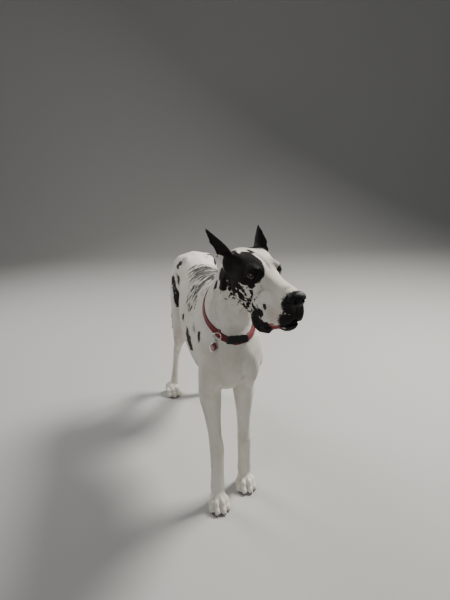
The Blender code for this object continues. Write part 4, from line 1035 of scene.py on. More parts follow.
def lie_of_coat():
    """Backward over the head, down the neck and legs, and back along the barrel to the tail's tip."""
    way = np.tile((0.0, 0.93, -0.36), (len(dog), 1))
    below = smooth(0.60, 0.46, z)[:, None]
    way = way * (1 - below) + np.array((0, 0.05, -1.0)) * below
    neck = (smooth(0.02, -0.10, y) * smooth(0.66, 0.76, z))[:, None]
    way = way * (1 - neck) + np.array((0, 0.55, -0.83)) * neck
    breast = (smooth(-0.12, -0.19, y) * smooth(0.83, 0.78, z))[:, None]
    way = way * (1 - breast) + np.array((0, 0.10, -1.0)) * breast
    way = np.where(on_tail[:, None], tail_way, way)
    backward, downward = head_way(-1.0, 0, 0), head_way(-0.35, 0, -1.0)
    low = 0.75 * smooth(-0.01, -0.06, above)[:, None]
    way = np.where(on_head[:, None], backward * (1 - low) + downward * low, way)
    for side, sign in SIDES:
        way = np.where((on_ear & (leftward * sign > 0))[:, None], ear_way(side)[1], way)
    return way


def along_skin(ways):
    flat = ways - normals * (ways * normals).sum(1)[:, None]
    return flat / np.maximum(np.linalg.norm(flat, axis=1), 1e-4)[:, None]


lay = lie_of_coat()
comb = along_skin(lay)
edges = np.empty(len(skin.data.edges) * 2, int)
skin.data.edges.foreach_get("vertices", edges)
one, other = edges.reshape(-1, 2).T
for _ in range(6):
    total = comb.copy()
    for k in range(3):
        total[:, k] += np.bincount(one, comb[other, k], len(dog)) + np.bincount(other, comb[one, k], len(dog))
    comb = along_skin(total)
keep_on_points(skin.data, "comb", comb)
keep_on_points(skin.data, "lay", np.round(lay * 4) / 4)

# %% How long and how thick it grows
CAD_COLLAR_CENTRE, COLLAR_TILT, COLLAR_WIDTH = Vector((-0.005, -0.090, 0.779)), math.radians(31.0), 0.021
COLLAR_CENTRE = CAD_COLLAR_CENTRE - Vector((0, 0, SINK))
COLLAR_AXIS = Vector((0, -math.sin(COLLAR_TILT), math.cos(COLLAR_TILT)))


def coat_lengths():
    """Tuft length in metres: shortest on the face and feet, longest behind the thighs and under the tail."""
    length = np.full(len(dog), 0.0105)
    length = np.where(z < 0.42, 0.0088, length)
    length = np.where(z < 0.10, 0.0062, length)
    length = np.where(on_head, 0.0070, length)
    length = np.where(on_head & (ahead > 0.0), 0.0054, length)
    length = np.where(on_ear, 0.0062, length)
    breech = smooth(0.66, 0.72, y) * smooth(0.40, 0.50, z)
    throat = smooth(0.10, 0.02, y) * smooth(0.52, 0.46, z) * smooth(0.40, 0.43, z)
    return length * (1 + 0.45 * breech + 0.3 * throat)


hair = coat_lengths()
# tufts stand closer where they are short; none on leather, lips, lids, pads or under the strap
dense = np.minimum(0.40 / (hair / 0.0130) ** 1.25, 1.0)
bare = np.maximum.reduce([leather, smooth(0.1, 0.5, rim), 0.75 * cup, smooth(0.010, 0.006, z)])
for sign in (-1, 1):
    measure, reach, offset, _ = lid_measure(local, sign)
    bare = np.maximum(bare, smooth(1.75, 1.45, measure) * (offset[:, 0] > 0) * (reach < 0.024))
height = (dog - np.array(COLLAR_CENTRE)) @ np.array(COLLAR_AXIS)
strap = (height > -0.003) & (height < COLLAR_WIDTH + 0.009) & (z > 0.70) & (y < 0.06) & (y > -0.24)
dense *= (1 - bare) * ~strap
keep_on_points(skin.data, "hair", hair)
print("coat from", round(hair.min() * 1000, 1), "to", round(hair.max() * 1000, 1), "mm long")

# %% [markdown]
# ## Materials
# Materials are built as graphs. Written node by node they run to hundreds of lines, so a small class lets
# the outputs be added, scaled and compared like numbers, and one method makes any other node. The same
# markings function serves the skin and the tufts, so that no tuft shows a colour that the skin under it
# does not have.

# %% A graph that reads like arithmetic
class Wire:
    """One output of a node, with the usual operators."""

    def __init__(self, graph, socket):
        self.graph, self.socket = graph, socket

    @property
    def is_vector(self):
        return self.socket.type in ("VECTOR", "RGBA")

    def __add__(self, other):
        return self.graph.maths("ADD", self, other)

    def __sub__(self, other):
        return self.graph.maths("SUBTRACT", self, other)

    def __mul__(self, other):
        return self.graph.maths("MULTIPLY", self, other)

    def __truediv__(self, other):
        return self.graph.maths("DIVIDE", self, other)

    def __rsub__(self, other):
        return self.graph.maths("SUBTRACT", other, self)

    __radd__, __rmul__ = __add__, __mul__


class Graph:
    """A node tree with arithmetic, and one method for every other node."""

    def __init__(self, tree):
        self.tree = tree

    def node(self, kind, settings=None, values=None, out=0):
        made = self.tree.nodes.new(kind)
        for name, value in (settings or {}).items():
            setattr(made, name, value)
        for key, value in (values or {}).items():
            if isinstance(value, Wire):
                self.tree.links.new(value.socket, made.inputs[key])
            else:
                made.inputs[key].default_value = value
        return Wire(self, made.outputs[out])

    def maths(self, operation, a, b):
        vectors = [isinstance(v, (tuple, Vector)) or (isinstance(v, Wire) and v.is_vector) for v in (a, b)]
        if operation == "MULTIPLY" and vectors[0] != vectors[1]:
            vector, number = (a, b) if vectors[0] else (b, a)
            return self.node("ShaderNodeVectorMath", {"operation": "SCALE"}, {0: vector, "Scale": number})
        kind = "ShaderNodeVectorMath" if any(vectors) else "ShaderNodeMath"
        return self.node(kind, {"operation": operation}, {0: a, 1: b})

    def dot(self, a, b):
        return self.node("ShaderNodeVectorMath", {"operation": "DOT_PRODUCT"}, {0: a, 1: b}, "Value")

    def step(self, low, high, value):
        """0 below low and 1 above high, with a smooth rise between; low may be the greater."""
        return self.node("ShaderNodeMapRange", {"interpolation_type": "SMOOTHSTEP"},
                         {"Value": value, "From Min": low, "From Max": high})

    def mix(self, share, a, b):
        pair = [v if isinstance(v, Wire) else (*v, 1.0) for v in (a, b)]
        return self.node("ShaderNodeMix", {"data_type": "RGBA"}, {0: share, 6: pair[0], 7: pair[1]}, 2)

    def noise(self, where, scale, detail=2.0, rough=0.5):
        return self.node("ShaderNodeTexNoise", None,
                         {"Vector": where, "Scale": scale, "Detail": detail, "Roughness": rough})

    def kept(self, name, out="Fac"):
        return self.node("ShaderNodeAttribute", {"attribute_name": name}, None, out)

    def place(self):
        return self.node("ShaderNodeTexCoord", None, None, "Object")

    def bump(self, height, distance, strength=1.0):
        values = {"Height": height, "Distance": distance, "Strength": strength}
        return self.node("ShaderNodeBump", None, values)


def finish(name, look, **constants):
    """A Principled material: look(graph) gives what varies, the rest are numbers set on the shader itself."""
    made = bpy.data.materials.new(name)
    made.use_nodes = True
    shader = made.node_tree.nodes["Principled BSDF"]
    for socket, value in constants.items():
        shader.inputs[socket.replace("_", " ")].default_value = value
    for socket, value in look(Graph(made.node_tree)).items():
        if isinstance(value, Wire):
            made.node_tree.links.new(value.socket, shader.inputs[socket])
        else:
            shader.inputs[socket].default_value = value
    return made


# %% Harlequin markings
WHITE, WARM, GREY = (0.80, 0.775, 0.72), (0.70, 0.645, 0.545), (0.115, 0.118, 0.128)
BLACK, PINK, STAIN = (0.0032, 0.0032, 0.0044), (0.55, 0.33, 0.27), (0.26, 0.16, 0.085)
LEATHER, INNER_LIP = (0.0075, 0.0075, 0.0085), (0.28, 0.062, 0.066)
# the first colour on the next line is a painted shade tone, mixed in where light falls less between and under
# the hairs; the second is the dark streaks' own colour
PAINTED_HAIR_SHADE, STREAK = (0.10, 0.075, 0.055), (0.022, 0.022, 0.026)


def markings(g):
    """Colour of the coat and its share of black, from the distances kept on the points."""
    here = g.place()
    torn = (g.noise(here, 62, 4, 0.62) - 0.5) * 0.036 + (g.noise(here, 210, 2) - 0.5) * 0.010
    torn = torn * g.kept("tear")
    stray = (g.noise(here, 420, 2) - 0.5) * g.kept("feather") * 0.024
    patch = g.step(0.0007, -0.0007, g.kept("black") + torn + stray)
    spots = g.noise(here, 82, 2.6, 0.55)
    limit = 0.775 - g.kept("ticks") * 0.265
    fleck = g.step(limit - 0.008, limit + 0.008, spots)
    streak = g.noise(here * (15.0, 74.0, 36.0), 1.0, 3.5, 0.6)
    limit = 0.80 - g.kept("streaks") * 0.34
    streak = g.step(limit - 0.015, limit + 0.015, streak)
    dusk = g.step(0.006, -0.008, g.kept("grey") + torn) * g.step(0.36, 0.56, g.noise(here, 240, 3, 0.7))
    colour = g.mix(g.step(0.35, 0.70, g.noise(here, 7.0, 3)) * 0.75, WHITE, WARM)
    colour = g.mix(g.kept("pink") * 0.60, colour, PINK)
    colour = g.mix(g.kept("stain") * g.step(0.25, 0.65, g.noise(here, 150, 3)) * 0.62, colour, STAIN)
    colour = g.mix(dusk * 0.88, colour, GREY)
    colour = g.mix(streak * 0.95, colour, STREAK)
    dark = g.maths("MAXIMUM", patch, fleck)
    return g.mix(dark, colour, BLACK), dark


def hair_grain(g, fine=760.0, drawn=70.0):
    """Noise drawn out along the way the hair lies."""
    here, lay = g.place(), g.kept("lay", "Vector")
    along = g.dot(here, lay)
    across = here - lay * along
    return g.noise(across * fine + lay * (along * drawn), 1.0, 2.0, 0.6)


def shaded(g, share, colour):
    """The colour darkened by a share towards a painted shade tone, the shade that falls between the hairs."""
    return g.mix(share, colour, g.mix(0.55, colour, PAINTED_HAIR_SHADE))


def skin_look(g):
    colour, dark = markings(g)
    grain = hair_grain(g)
    # painted shade: the coat is darkened towards the shade tone in the low hollows of the hair grain
    colour = shaded(g, g.step(0.75, 0.35, grain) * 0.22, colour)
    leather, rim = g.kept("leather"), g.kept("rim")
    bare = g.maths("MAXIMUM", leather, g.step(0.45, 0.60, rim))
    colour = g.mix(bare, colour, LEATHER)
    colour = g.mix(g.step(0.25, 0.55, g.kept("inner_lip")), colour, INNER_LIP)
    cobbles = g.node("ShaderNodeTexVoronoi", {"feature": "F1"}, {"Vector": g.place(), "Scale": 620.0})
    height = grain * (1.0 - bare) + cobbles * bare * -0.9
    rough = 0.62 + dark * 0.06 - bare * 0.24
    return {"Base Color": colour, "Roughness": rough, "Normal": g.bump(height, 0.0009, 0.55)}


def tuft_look(g):
    colour, dark = markings(g)
    # painted shade: some tufts at random are darkened a little towards the shade tone, each one more towards
    # its root near the skin, and the grain's hollows too
    shade = g.step(0.25, 0.80, g.kept("shade")) * 0.05 + (1.0 - g.kept("tip")) * 0.03
    grain = hair_grain(g)
    colour = shaded(g, shade + g.step(0.75, 0.35, grain) * 0.16, colour)
    return {"Base Color": colour, "Roughness": 0.62 + dark * 0.06, "Normal": g.bump(grain, 0.0009, 0.55)}


SKIN_FINISH = finish("short_coat_skin", skin_look, Specular_IOR_Level=0.15)
COAT_FINISH = finish("short_coat", tuft_look, Specular_IOR_Level=0.15)
skin.data.materials.clear()
skin.data.materials.append(SKIN_FINISH)
FLESH = ["head", "neck", "torso", "tail"] + [part + side for side in ("left", "right") for part in
                                             ("ear_", "foreleg_", "forepaw_", "hindleg_", "hindpaw_")]
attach(skin, "root")
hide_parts(*FLESH)
print("skin stands for", len(FLESH), "nodes")

# %% [markdown]
# ## The coat
# Hair on this breed is a centimetre long and lies flat, so the skin's bump does most of the work and small
# tufts break up the outline and the light. Particle hair would vanish on export, so each tuft is a thin
# closed blade of ten triangles. A Geometry Nodes tree scatters the blades over one part of the skin at a
# time, turns each with its back to the skin and its point along the comb, and scales it by the length kept
# there.

# %% One blade of hair
def tuft_object():
    """A thin bent lens of length 1 along +Y: three points at its root and its widest, and a tip."""
    sections = [(-0.06, 0.055, -0.040, 0.012), (0.40, 0.088, 0.000, 0.014)]
    points = []
    for y, half, low, thick in sections:
        points += [(-half, y, low), (half, y, low), (0, y, low + thick)]
    points.append((0, 1.0, 0.003))
    faces = [(0, 2, 1), (0, 1, 4, 3), (1, 2, 5, 4), (2, 0, 3, 5), (3, 4, 6), (4, 5, 6), (5, 3, 6)]
    mesh = bpy.data.meshes.new("tuft")
    mesh.from_pydata(points, [], faces)
    with edited(mesh) as bm:
        bmesh.ops.recalc_face_normals(bm, faces=bm.faces[:])
        bmesh.ops.triangulate(bm, faces=bm.faces[:])
    flat = np.array(points)
    keep_on_points(mesh, "tip", np.clip(flat[:, 1], 0, 1))
    spot = np.stack([flat[:, 0] * 3.0, flat[:, 1] - 0.5, flat[:, 2] * 0], axis=1)
    keep_on_points(mesh, "spot", spot)
    mesh.shade_smooth()
    return in_collection("tuft", mesh)


tuft = tuft_object()
print("a tuft has", len(tuft.data.vertices), "points and", len(tuft.data.polygons), "triangles")

# %% The tree that lays the coat
PATCH = 0.003


def new_tree(name, **sockets):
    """An empty tree with one output, and its named inputs as wires."""
    tree = bpy.data.node_groups.new(name, "GeometryNodeTree")
    for label, kind in sockets.items():
        tree.interface.new_socket(label, in_out="INPUT", socket_type="NodeSocket" + kind)
    tree.interface.new_socket("Made", in_out="OUTPUT", socket_type="NodeSocketGeometry")
    given, graph = tree.nodes.new("NodeGroupInput"), Graph(tree)
    return graph, {label: Wire(graph, given.outputs[label]) for label in sockets}


def end_tree(graph, mesh, material):
    """The last two nodes: the material, and the way out."""
    mesh = graph.node("GeometryNodeSetMaterial", None, {"Geometry": mesh, "Material": material})
    graph.tree.links.new(mesh.socket, graph.tree.nodes.new("NodeGroupOutput").inputs["Made"])
    return graph.tree


def coat_tree():
    g, have = new_tree("short coat", Skin="Geometry", Tuft="Object", Density="Float", Seed="Int",
                       Rise="Float", Splay="Float", Side="Vector", Up="Vector", Finish="Material")

    def kept(name, kind="FLOAT"):
        return g.node("GeometryNodeInputNamedAttribute", {"data_type": kind}, {"Name": name}, "Attribute")

    def store(geometry, name, value, kind="FLOAT", domain="POINT"):
        return g.node("GeometryNodeStoreNamedAttribute", {"data_type": kind, "domain": domain},
                      {"Geometry": geometry, "Name": name, "Value": value})

    def chance(low, high, salt):
        values = {2: low, 3: high, 8: have["Seed"] + salt}
        return g.node("FunctionNodeRandomValue", {"data_type": "FLOAT"}, values, 1)

    def joined(x, y, z):
        return g.node("ShaderNodeCombineXYZ", None, {0: x, 1: y, 2: z})

    scatter = g.node("GeometryNodeDistributePointsOnFaces", {"distribute_method": "RANDOM"},
                     {"Mesh": have["Skin"], "Density": kept("dense") * have["Density"], "Seed": have["Seed"]})
    normal = Wire(g, scatter.socket.node.outputs["Normal"])
    off = g.node("GeometryNodeInputPosition") - kept("heart", "FLOAT_VECTOR")
    round_it = g.maths("ARCTAN2", g.dot(off, have["Side"]), g.dot(off, have["Up"])) * (0.494 / math.pi) + 0.5
    points = store(scatter, "root", joined(round_it, kept("down") * 0.99 + 0.005, 0.0), "FLOAT_VECTOR")
    points = store(points, "shade", chance(0.0, 1.0, 3))
    lying = g.node("FunctionNodeAlignRotationToVector", {"axis": "Z"}, {"Vector": normal})
    lying = g.node("FunctionNodeAlignRotationToVector", {"axis": "Y", "pivot_axis": "Z"},
                   {"Rotation": lying, "Vector": kept("comb", "FLOAT_VECTOR")})
    spread = chance(-1.0, 1.0, 5) * have["Splay"]
    lift = chance(0.4, 1.0, 7) * have["Rise"]
    turn = g.node("FunctionNodeEulerToRotation", None, {0: joined(lift, 0.0, spread)})
    lying = g.node("FunctionNodeRotateRotation", {"rotation_space": "LOCAL"},
                   {"Rotation": lying, "Rotate By": turn})
    long = kept("hair") * chance(0.78, 1.18, 9)
    wide = kept("hair") * chance(0.85, 1.25, 11)
    blade = g.node("GeometryNodeObjectInfo", {"transform_space": "ORIGINAL"},
                   {"Object": have["Tuft"]}, "Geometry")
    laid = g.node("GeometryNodeInstanceOnPoints", None,
                  {"Points": points, "Instance": blade, "Rotation": lying, "Scale": joined(wide, long, long)})
    mesh = g.node("GeometryNodeRealizeInstances", None, {0: laid})
    patch = kept("root", "FLOAT_VECTOR") + kept("spot", "FLOAT_VECTOR") * PATCH
    mesh = store(mesh, "OFBake", patch, "FLOAT2", "CORNER")
    mesh = g.node("GeometryNodeSetMeshNormal", {"mode": "FREE"},
                  {"Mesh": mesh, "Custom Normal": kept("upright", "FLOAT_VECTOR")})
    return end_tree(g, mesh, have["Finish"])


def grown_from(obj, tree, **values):
    """Runs the tree on obj with its named inputs set, and leaves a plain mesh."""
    run = obj.modifiers.new(tree.name, "NODES")
    run.node_group = tree
    ids = {item.name: item.identifier for item in tree.interface.items_tree if item.in_out == "INPUT"}
    for name, value in values.items():
        run[ids[name.replace("_", " ")]] = value
    return applied(obj)


COAT_TREE = coat_tree()
print("coat tree", len(COAT_TREE.nodes), "nodes")

# %% Parts of the coat, each with the axis that it is unrolled about
def axis_of(stations):
    _, _, spot, down = nearest_stretch(dog, stations)
    return spot + np.array(SHIFT), down


def head_axis(back, front):
    ends = from_head(np.array([[back, 0, -0.030], [front, 0, -0.030]]))
    return axis_of(ends)


HEAD_SIDE, HEAD_UP = tuple(HEAD[:, 1]), tuple(HEAD[:, 2])
face_part = on_head & ~on_ear & (ahead > -0.020)
skull_part = on_head & ~on_ear & ~face_part
rest = ~on_head & ~on_tail
neck_part = rest & (y < -0.02) & (z > 0.69)
fore_part = rest & ~neck_part & (y < 0.16) & (z < 0.480)
hind_part = rest & (y > 0.46) & (z < 0.640)
trunk_part = rest & ~neck_part & ~fore_part & ~hind_part
TRUNK_AXIS = axis_of([(-0.004, -0.22, 0.66), (-0.004, 0.76, 0.70)])
NECK_AXIS = axis_of([(-0.005, -0.040, 0.680), (0.018, -0.150, 0.960)])
ACROSS, BACK, UP = (1, 0, 0), (0, 1, 0), (0, 0, 1)
# where each part grows, the chain that it is unrolled about, and the two ways that its turn is measured from
PARTS = {
    "coat_face": (face_part, head_axis(-0.02, 0.175), HEAD_SIDE, HEAD_UP),
    "coat_skull": (skull_part, head_axis(-0.19, -0.02), HEAD_SIDE, HEAD_UP),
    "coat_neck": (neck_part, NECK_AXIS, ACROSS, BACK),
    "coat_trunk_fore": (trunk_part & (y < 0.22), TRUNK_AXIS, ACROSS, UP),
    "coat_trunk_hind": (trunk_part & (y >= 0.22) & (y < 0.46), TRUNK_AXIS, ACROSS, UP),
    "coat_rump": (trunk_part & (y >= 0.46), TRUNK_AXIS, ACROSS, UP),
    "coat_tail": (on_tail, axis_of(TAIL_LINE), ACROSS, BACK),
}
for side, sign in SIDES:
    here = x < 0 if side == "right" else x >= 0
    PARTS["coat_ear_" + side] = (on_ear & (leftward * sign > 0), axis_of(ear_ends(side)), ACROSS, BACK)
    for name, part, leg, joints in (("coat_foreleg_", fore_part, FORELEGS[side], ("elbow", "carpus")),
                                    ("coat_hindleg_", hind_part, HINDLEGS[side], ("hip", "stifle", "hock"))):
        chain = [leg[joint] for joint in joints] + [(*leg["paw"], 0.0)]
        PARTS[name + side] = (part & here, axis_of(chain), ACROSS, BACK)

# %% Growing it
keep_on_points(skin.data, "upright", normals)
DENSITY = 105000
KEPT_BY_TUFTS = {"black", "grey", "ticks", "streaks", "pink", "stain", "tear", "feather", "lay",
                 "custom_normal", "tip", "shade", "OFBake", "sharp_face", "material_index"}
SLOTS = {"face": "coat_head", "skull": "coat_head", "neck": "coat_neck", "trunk": "coat_body",
         "rump": "coat_body", "tail": "coat_body", "ear": "coat_black", "leg": "coat_leg"}
total = 0
for seed, (name, (where, (heart, down), side_way, up_way)) in enumerate(PARTS.items()):
    piece = in_collection(name, skin.data.copy())
    keep_on_points(piece.data, "dense", dense * where)
    keep_on_points(piece.data, "heart", heart)
    keep_on_points(piece.data, "down", down)
    grown_from(piece, COAT_TREE, Tuft=tuft, Density=float(DENSITY), Seed=seed * 17 + 4, Rise=0.030,
               Splay=0.13, Side=side_way, Up=up_way, Finish=COAT_FINISH)
    piece.data.name = name
    for layer in [a.name for a in piece.data.attributes if not a.is_internal and not a.is_required]:
        if layer not in KEPT_BY_TUFTS and layer in piece.data.attributes:
            piece.data.attributes.remove(piece.data.attributes[layer])
    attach(piece, "root")
    next(slot for part, slot in SLOTS.items() if part in name)
    total += len(piece.data.polygons)
    print(name, len(piece.data.polygons), "triangles,", [u.name for u in piece.data.uv_layers])
bpy.data.objects.remove(tuft)
told("coat in all", total, "triangles")

# %% [markdown]
# ## Eyes, tongue, claws and whiskers
# An eye reads as alive through its wet shine and the clear bulge over the iris. A flat disc set in a socket
# would lose both from the side, so each eye is a whole ball at the solids' place, turned along its own
# gaze, with the iris and pupil drawn from the direction that each point keeps.

# %% Eyes
IRIS, PUPIL = 0.66, 0.27


def mesh_from(name, points, faces):
    mesh = bpy.data.meshes.new(name)
    mesh.from_pydata([tuple(p) for p in points], [], faces)
    mesh.update()
    mesh.shade_smooth()
    return in_collection(name, mesh)


def ball(around, rows):
    """Unit directions and faces of a ball whose poles lie along the first axis."""
    points = [(1.0, 0.0, 0.0)]
    for i in range(1, rows):
        a = math.pi * i / rows
        points += [(math.cos(a), math.sin(a) * math.cos(b), math.sin(a) * math.sin(b))
                   for b in circle(around)]
    points.append((-1.0, 0.0, 0.0))
    faces = [(0, 1 + k, 1 + (k + 1) % around) for k in range(around)]
    faces += tube_faces(rows - 1, around, first=1, flip=True)
    low, last = 1 + (rows - 2) * around, len(points) - 1
    faces += [(low + (k + 1) % around, low + k, last) for k in range(around)]
    return np.array(points), faces


def eye_look(g):
    aim = g.kept("aim", "Vector")
    parts = g.node("ShaderNodeSeparateXYZ", None, {0: aim})
    flat = g.node("ShaderNodeVectorMath", {"operation": "LENGTH"}, {0: aim * (0.0, 1.0, 1.0)}, "Value")
    far = g.step(0.0, -0.1, parts)
    fibres = g.noise(aim * (2.0, 26.0, 26.0), 1.0, 3.0, 0.6)
    iris = g.mix(fibres, (0.008, 0.004, 0.002), (0.040, 0.019, 0.007))
    iris = g.mix(g.step(IRIS - 0.14, IRIS - 0.02, flat) * 0.85, iris, (0.010, 0.006, 0.004))
    iris = g.mix(g.step(PUPIL + 0.02, PUPIL - 0.01, flat), iris, (0.002, 0.002, 0.002))
    white = g.mix(g.noise(aim, 9.0, 3.0), (0.060, 0.042, 0.034), (0.030, 0.017, 0.013))
    colour = g.mix(g.step(IRIS - 0.012, IRIS + 0.02, flat), iris, white)
    return {"Base Color": g.mix(far, colour, (0.2, 0.1, 0.08)), "Roughness": 0.10}


EYE_FINISH = finish("wet_eye", eye_look, Coat_Weight=0.5, Coat_Roughness=0.02, Specular_IOR_Level=0.35)
for side, sign in SIDES:
    centre, rows = eye_frame(sign)
    aims, faces = ball(56, 36)
    radius = EYE_RADIUS - 0.0002 + 0.0007 * smooth(0.62, 0.95, aims[:, 0])
    places = from_head(centre + (aims * radius[:, None]) @ rows) + np.array(SHIFT)
    eye = mesh_from("eyeball_" + side, places, faces)
    keep_on_points(eye.data, "aim", aims)
    eye.data.materials.append(EYE_FINISH)
    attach(eye, "root")
    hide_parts("eye_" + side)
print("eyes", EYE_RADIUS * 2000, "mm across")

# %% Tongue
TONGUE = ((0.100, -0.005, -0.0925), (0.036, 0.0345, 0.0080))
aims, faces = ball(40, 26)
shape = aims * np.array(TONGUE[1]) * (0.62, 0.86, 1.0)
shape[:, 2] -= 0.0016 * bell((shape[:, 1], 0, 0.004)) * (aims[:, 2] > 0)
tongue = mesh_from("tongue_top", from_head(shape + np.array(TONGUE[0])) + np.array(SHIFT), faces)


def tongue_look(g):
    here = g.place()
    colour = g.mix(g.noise(here, 120, 3), (0.42, 0.11, 0.10), (0.55, 0.20, 0.18))
    return {"Base Color": colour, "Roughness": 0.32, "Normal": g.bump(g.noise(here, 700, 2), 0.0004, 0.5)}


tongue.data.materials.append(finish("wet_tongue", tongue_look, Subsurface_Weight=0.05, Coat_Weight=0.3))
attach(tongue, "root")
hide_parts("tongue")

# %% Claws
CLAW_AT = ((-0.0125, -0.050), (0.0125, -0.050), (-0.0315, -0.033), (0.0315, -0.033))
CLAW_HEIGHT, CLAW_LENGTH, CLAW_WIDE = 0.0115, 0.0140, 0.0038


def claw_points(paw, sides=10, rings=7):
    """A blunt claw that curves forward and down, a little flat from side to side."""
    points = []
    for i in range(rings):
        t = i / (rings - 1)
        droop = math.radians(20 + 55 * t)
        at = Vector((0, -CLAW_LENGTH * (t - 0.35) * 0.92, -CLAW_LENGTH * 0.42 * t ** 1.7 + 0.0018))
        radius = CLAW_WIDE * (1 - 0.72 * t ** 1.5)
        for a in circle(sides):
            rim = Vector((math.cos(a) * radius * 0.72, math.sin(a) * radius * math.sin(droop) * -0.4,
                          math.sin(a) * radius * math.cos(droop * 0.7)))
            points.append(paw @ (at + rim))
    faces = tube_faces(rings, sides)
    faces += [tuple(range(sides))[::-1], tuple(range((rings - 1) * sides, rings * sides))]
    return points, faces


points, faces = [], []
for table, scale in ((FORELEGS, 1.0), (HINDLEGS, HIND_PAW_SCALE)):
    for leg in table.values():
        paw = Matrix.Translation((*leg["paw"], 0)) @ Matrix.Rotation(math.radians(-leg["toe_out"]), 4, "Z")
        for cx, cy in CLAW_AT:
            at = paw @ Matrix.Translation((cx * scale, cy * scale, CLAW_HEIGHT - SINK + 0.0008))
            made, around = claw_points(Matrix.Translation(SHIFT) @ at)
            faces += [tuple(i + len(points) for i in face) for face in around]
            points += made
claws = mesh_from("claws", points, faces)


def horn_look(g):
    here = g.place()
    streaks_of_horn = g.noise(here * (400.0, 400.0, 60.0), 1.0, 2.0)
    colour = g.mix(streaks_of_horn, (0.012, 0.010, 0.009), (0.06, 0.045, 0.035))
    return {"Base Color": colour, "Roughness": 0.38}


claws.data.materials.append(finish("dark_horn", horn_look, Coat_Weight=0.15))
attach(claws, "root")
print("claws", len(CLAW_AT) * 4, "lowest", round(min(p[2] for p in points) * 1000, 1), "mm")

# %% Whiskers, as fine closed cones
SKIN_TREE = BVHTree.FromPolygons([tuple(c) for c in points_of(skin.data)],
                                 [tuple(p.vertices) for p in skin.data.polygons])
WHISKER_ROWS, WHISKER_COLUMNS, WHISKER_RADIUS, WHISKER_SAG, WHISKER_ROOT = 4, 5, 0.00030, 0.004, 0.0008
chance = np.random.default_rng(11)
points, faces = [], []
for sign in (-1, 1):
    for row, column in np.ndindex(WHISKER_ROWS, WHISKER_COLUMNS):
        at = np.array([[0.070 + 0.013 * column, sign * 0.042, -0.040 - 0.011 * row]])
        at = from_head(at)[0] + np.array(SHIFT)
        spot, normal, _, _ = SKIN_TREE.find_nearest(Vector(at))
        back = Vector(head_way(-1.0, 0, -0.25))
        way = (normal * 0.9 + back * chance.uniform(0.5, 0.9)).normalized()
        length = chance.uniform(0.016, 0.030)
        side_way = way.cross(Vector((0, 0, 1))).normalized()
        up_way = side_way.cross(way)
        start = len(points)
        for t in (i / 5 for i in range(5)):
            bend = way * (length * t) - Vector((0, 0, 1)) * (WHISKER_SAG * t * t)
            points += [spot - normal * WHISKER_ROOT + bend
                       + (side_way * math.cos(a) + up_way * math.sin(a)) * WHISKER_RADIUS * (1 - t * 0.8)
                       for a in circle(3)]
        points.append(spot + way * length - Vector((0, 0, 1)) * WHISKER_SAG)
        faces += tube_faces(5, 3, first=start, flip=True)
        faces += [(start + 12 + (k + 1) % 3, start + 12 + k, start + 15) for k in range(3)]
        faces.append((start, start + 1, start + 2))
whiskers = mesh_from("whiskers", points, faces)
WHISKER_FINISH = finish("whisker", lambda g: {"Base Color": (0.10, 0.09, 0.085, 1)}, Roughness=0.4)
whiskers.data.materials.append(WHISKER_FINISH)
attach(whiskers, "root")
print("whiskers", 2 * WHISKER_ROWS * WHISKER_COLUMNS)

# %% [markdown]
# ## Collar, ring and tag
# The strap follows the neck, so it is cast on to the skin: rays run out from the neck's middle in the
# collar's tilted plane, and a rounded section is swept through the places that they meet. Its stitches are
# one small capsule repeated along a path by Geometry Nodes. Nothing on the buckle or the tag is printed or
# engraved.

# %% The strap
STRAP_THICK, STRAP_STEPS = 0.0027, 240


def collar_spot(turn, offset=0.0):
    """The skin in the collar's plane at a turn round it, and the ways out, along and up there."""
    back = Vector((0, math.cos(COLLAR_TILT), math.sin(COLLAR_TILT)))
    out = Vector((1, 0, 0)) * math.cos(turn) + back * math.sin(turn)
    start = COLLAR_CENTRE + SHIFT + COLLAR_AXIS * offset
    return SKIN_TREE.ray_cast(start, out)[0], out, COLLAR_AXIS.cross(out), COLLAR_AXIS


def worn_frame(turn):
    """The middle of the strap at a turn round the neck: the ways out of, round and up the skin there."""
    low = collar_spot(turn, -0.030)[0]
    spot, _, along_band, _ = collar_spot(turn, COLLAR_WIDTH * 0.45)
    slope = (collar_spot(turn, 0.030)[0] - low).normalized()
    out = along_band.cross(slope).normalized()
    if out.dot(spot - COLLAR_CENTRE - SHIFT) < 0:
        out.negate()
    return spot, out, slope.cross(out), slope


def strap_rows():
    lows, highs = [], []
    for turn in np.arange(STRAP_STEPS) * 2 * math.pi / STRAP_STEPS:
        low = collar_spot(turn)[0]
        step = COLLAR_WIDTH
        for _ in range(3):
            high = collar_spot(turn, step)[0]
            step *= COLLAR_WIDTH / (high - low).length
        lows.append(low)
        highs.append(high)
    rows = []
    kernel = np.hanning(19)[1:-1] / np.hanning(19).sum()
    for row in (lows, highs):
        heart = sum(row, Vector()) / len(row)
        radius = np.array([(p - heart).length for p in row])
        wide = np.concatenate([radius[-8:], radius, radius[:8]])
        worn = np.maximum(np.convolve(wide, kernel, "valid"), radius)
        rows.append([heart + (p - heart).normalized() * w for p, w in zip(row, worn)])
    return rows


LOWS, HIGHS = strap_rows()
MIDDLE = sum(LOWS + HIGHS, Vector()) / (2 * STRAP_STEPS)


def strap_out(low, high):
    """The way out of the neck, square to the strap's width there."""
    up, out = (high - low).normalized(), low - MIDDLE
    return (out - up * out.dot(up)).normalized()


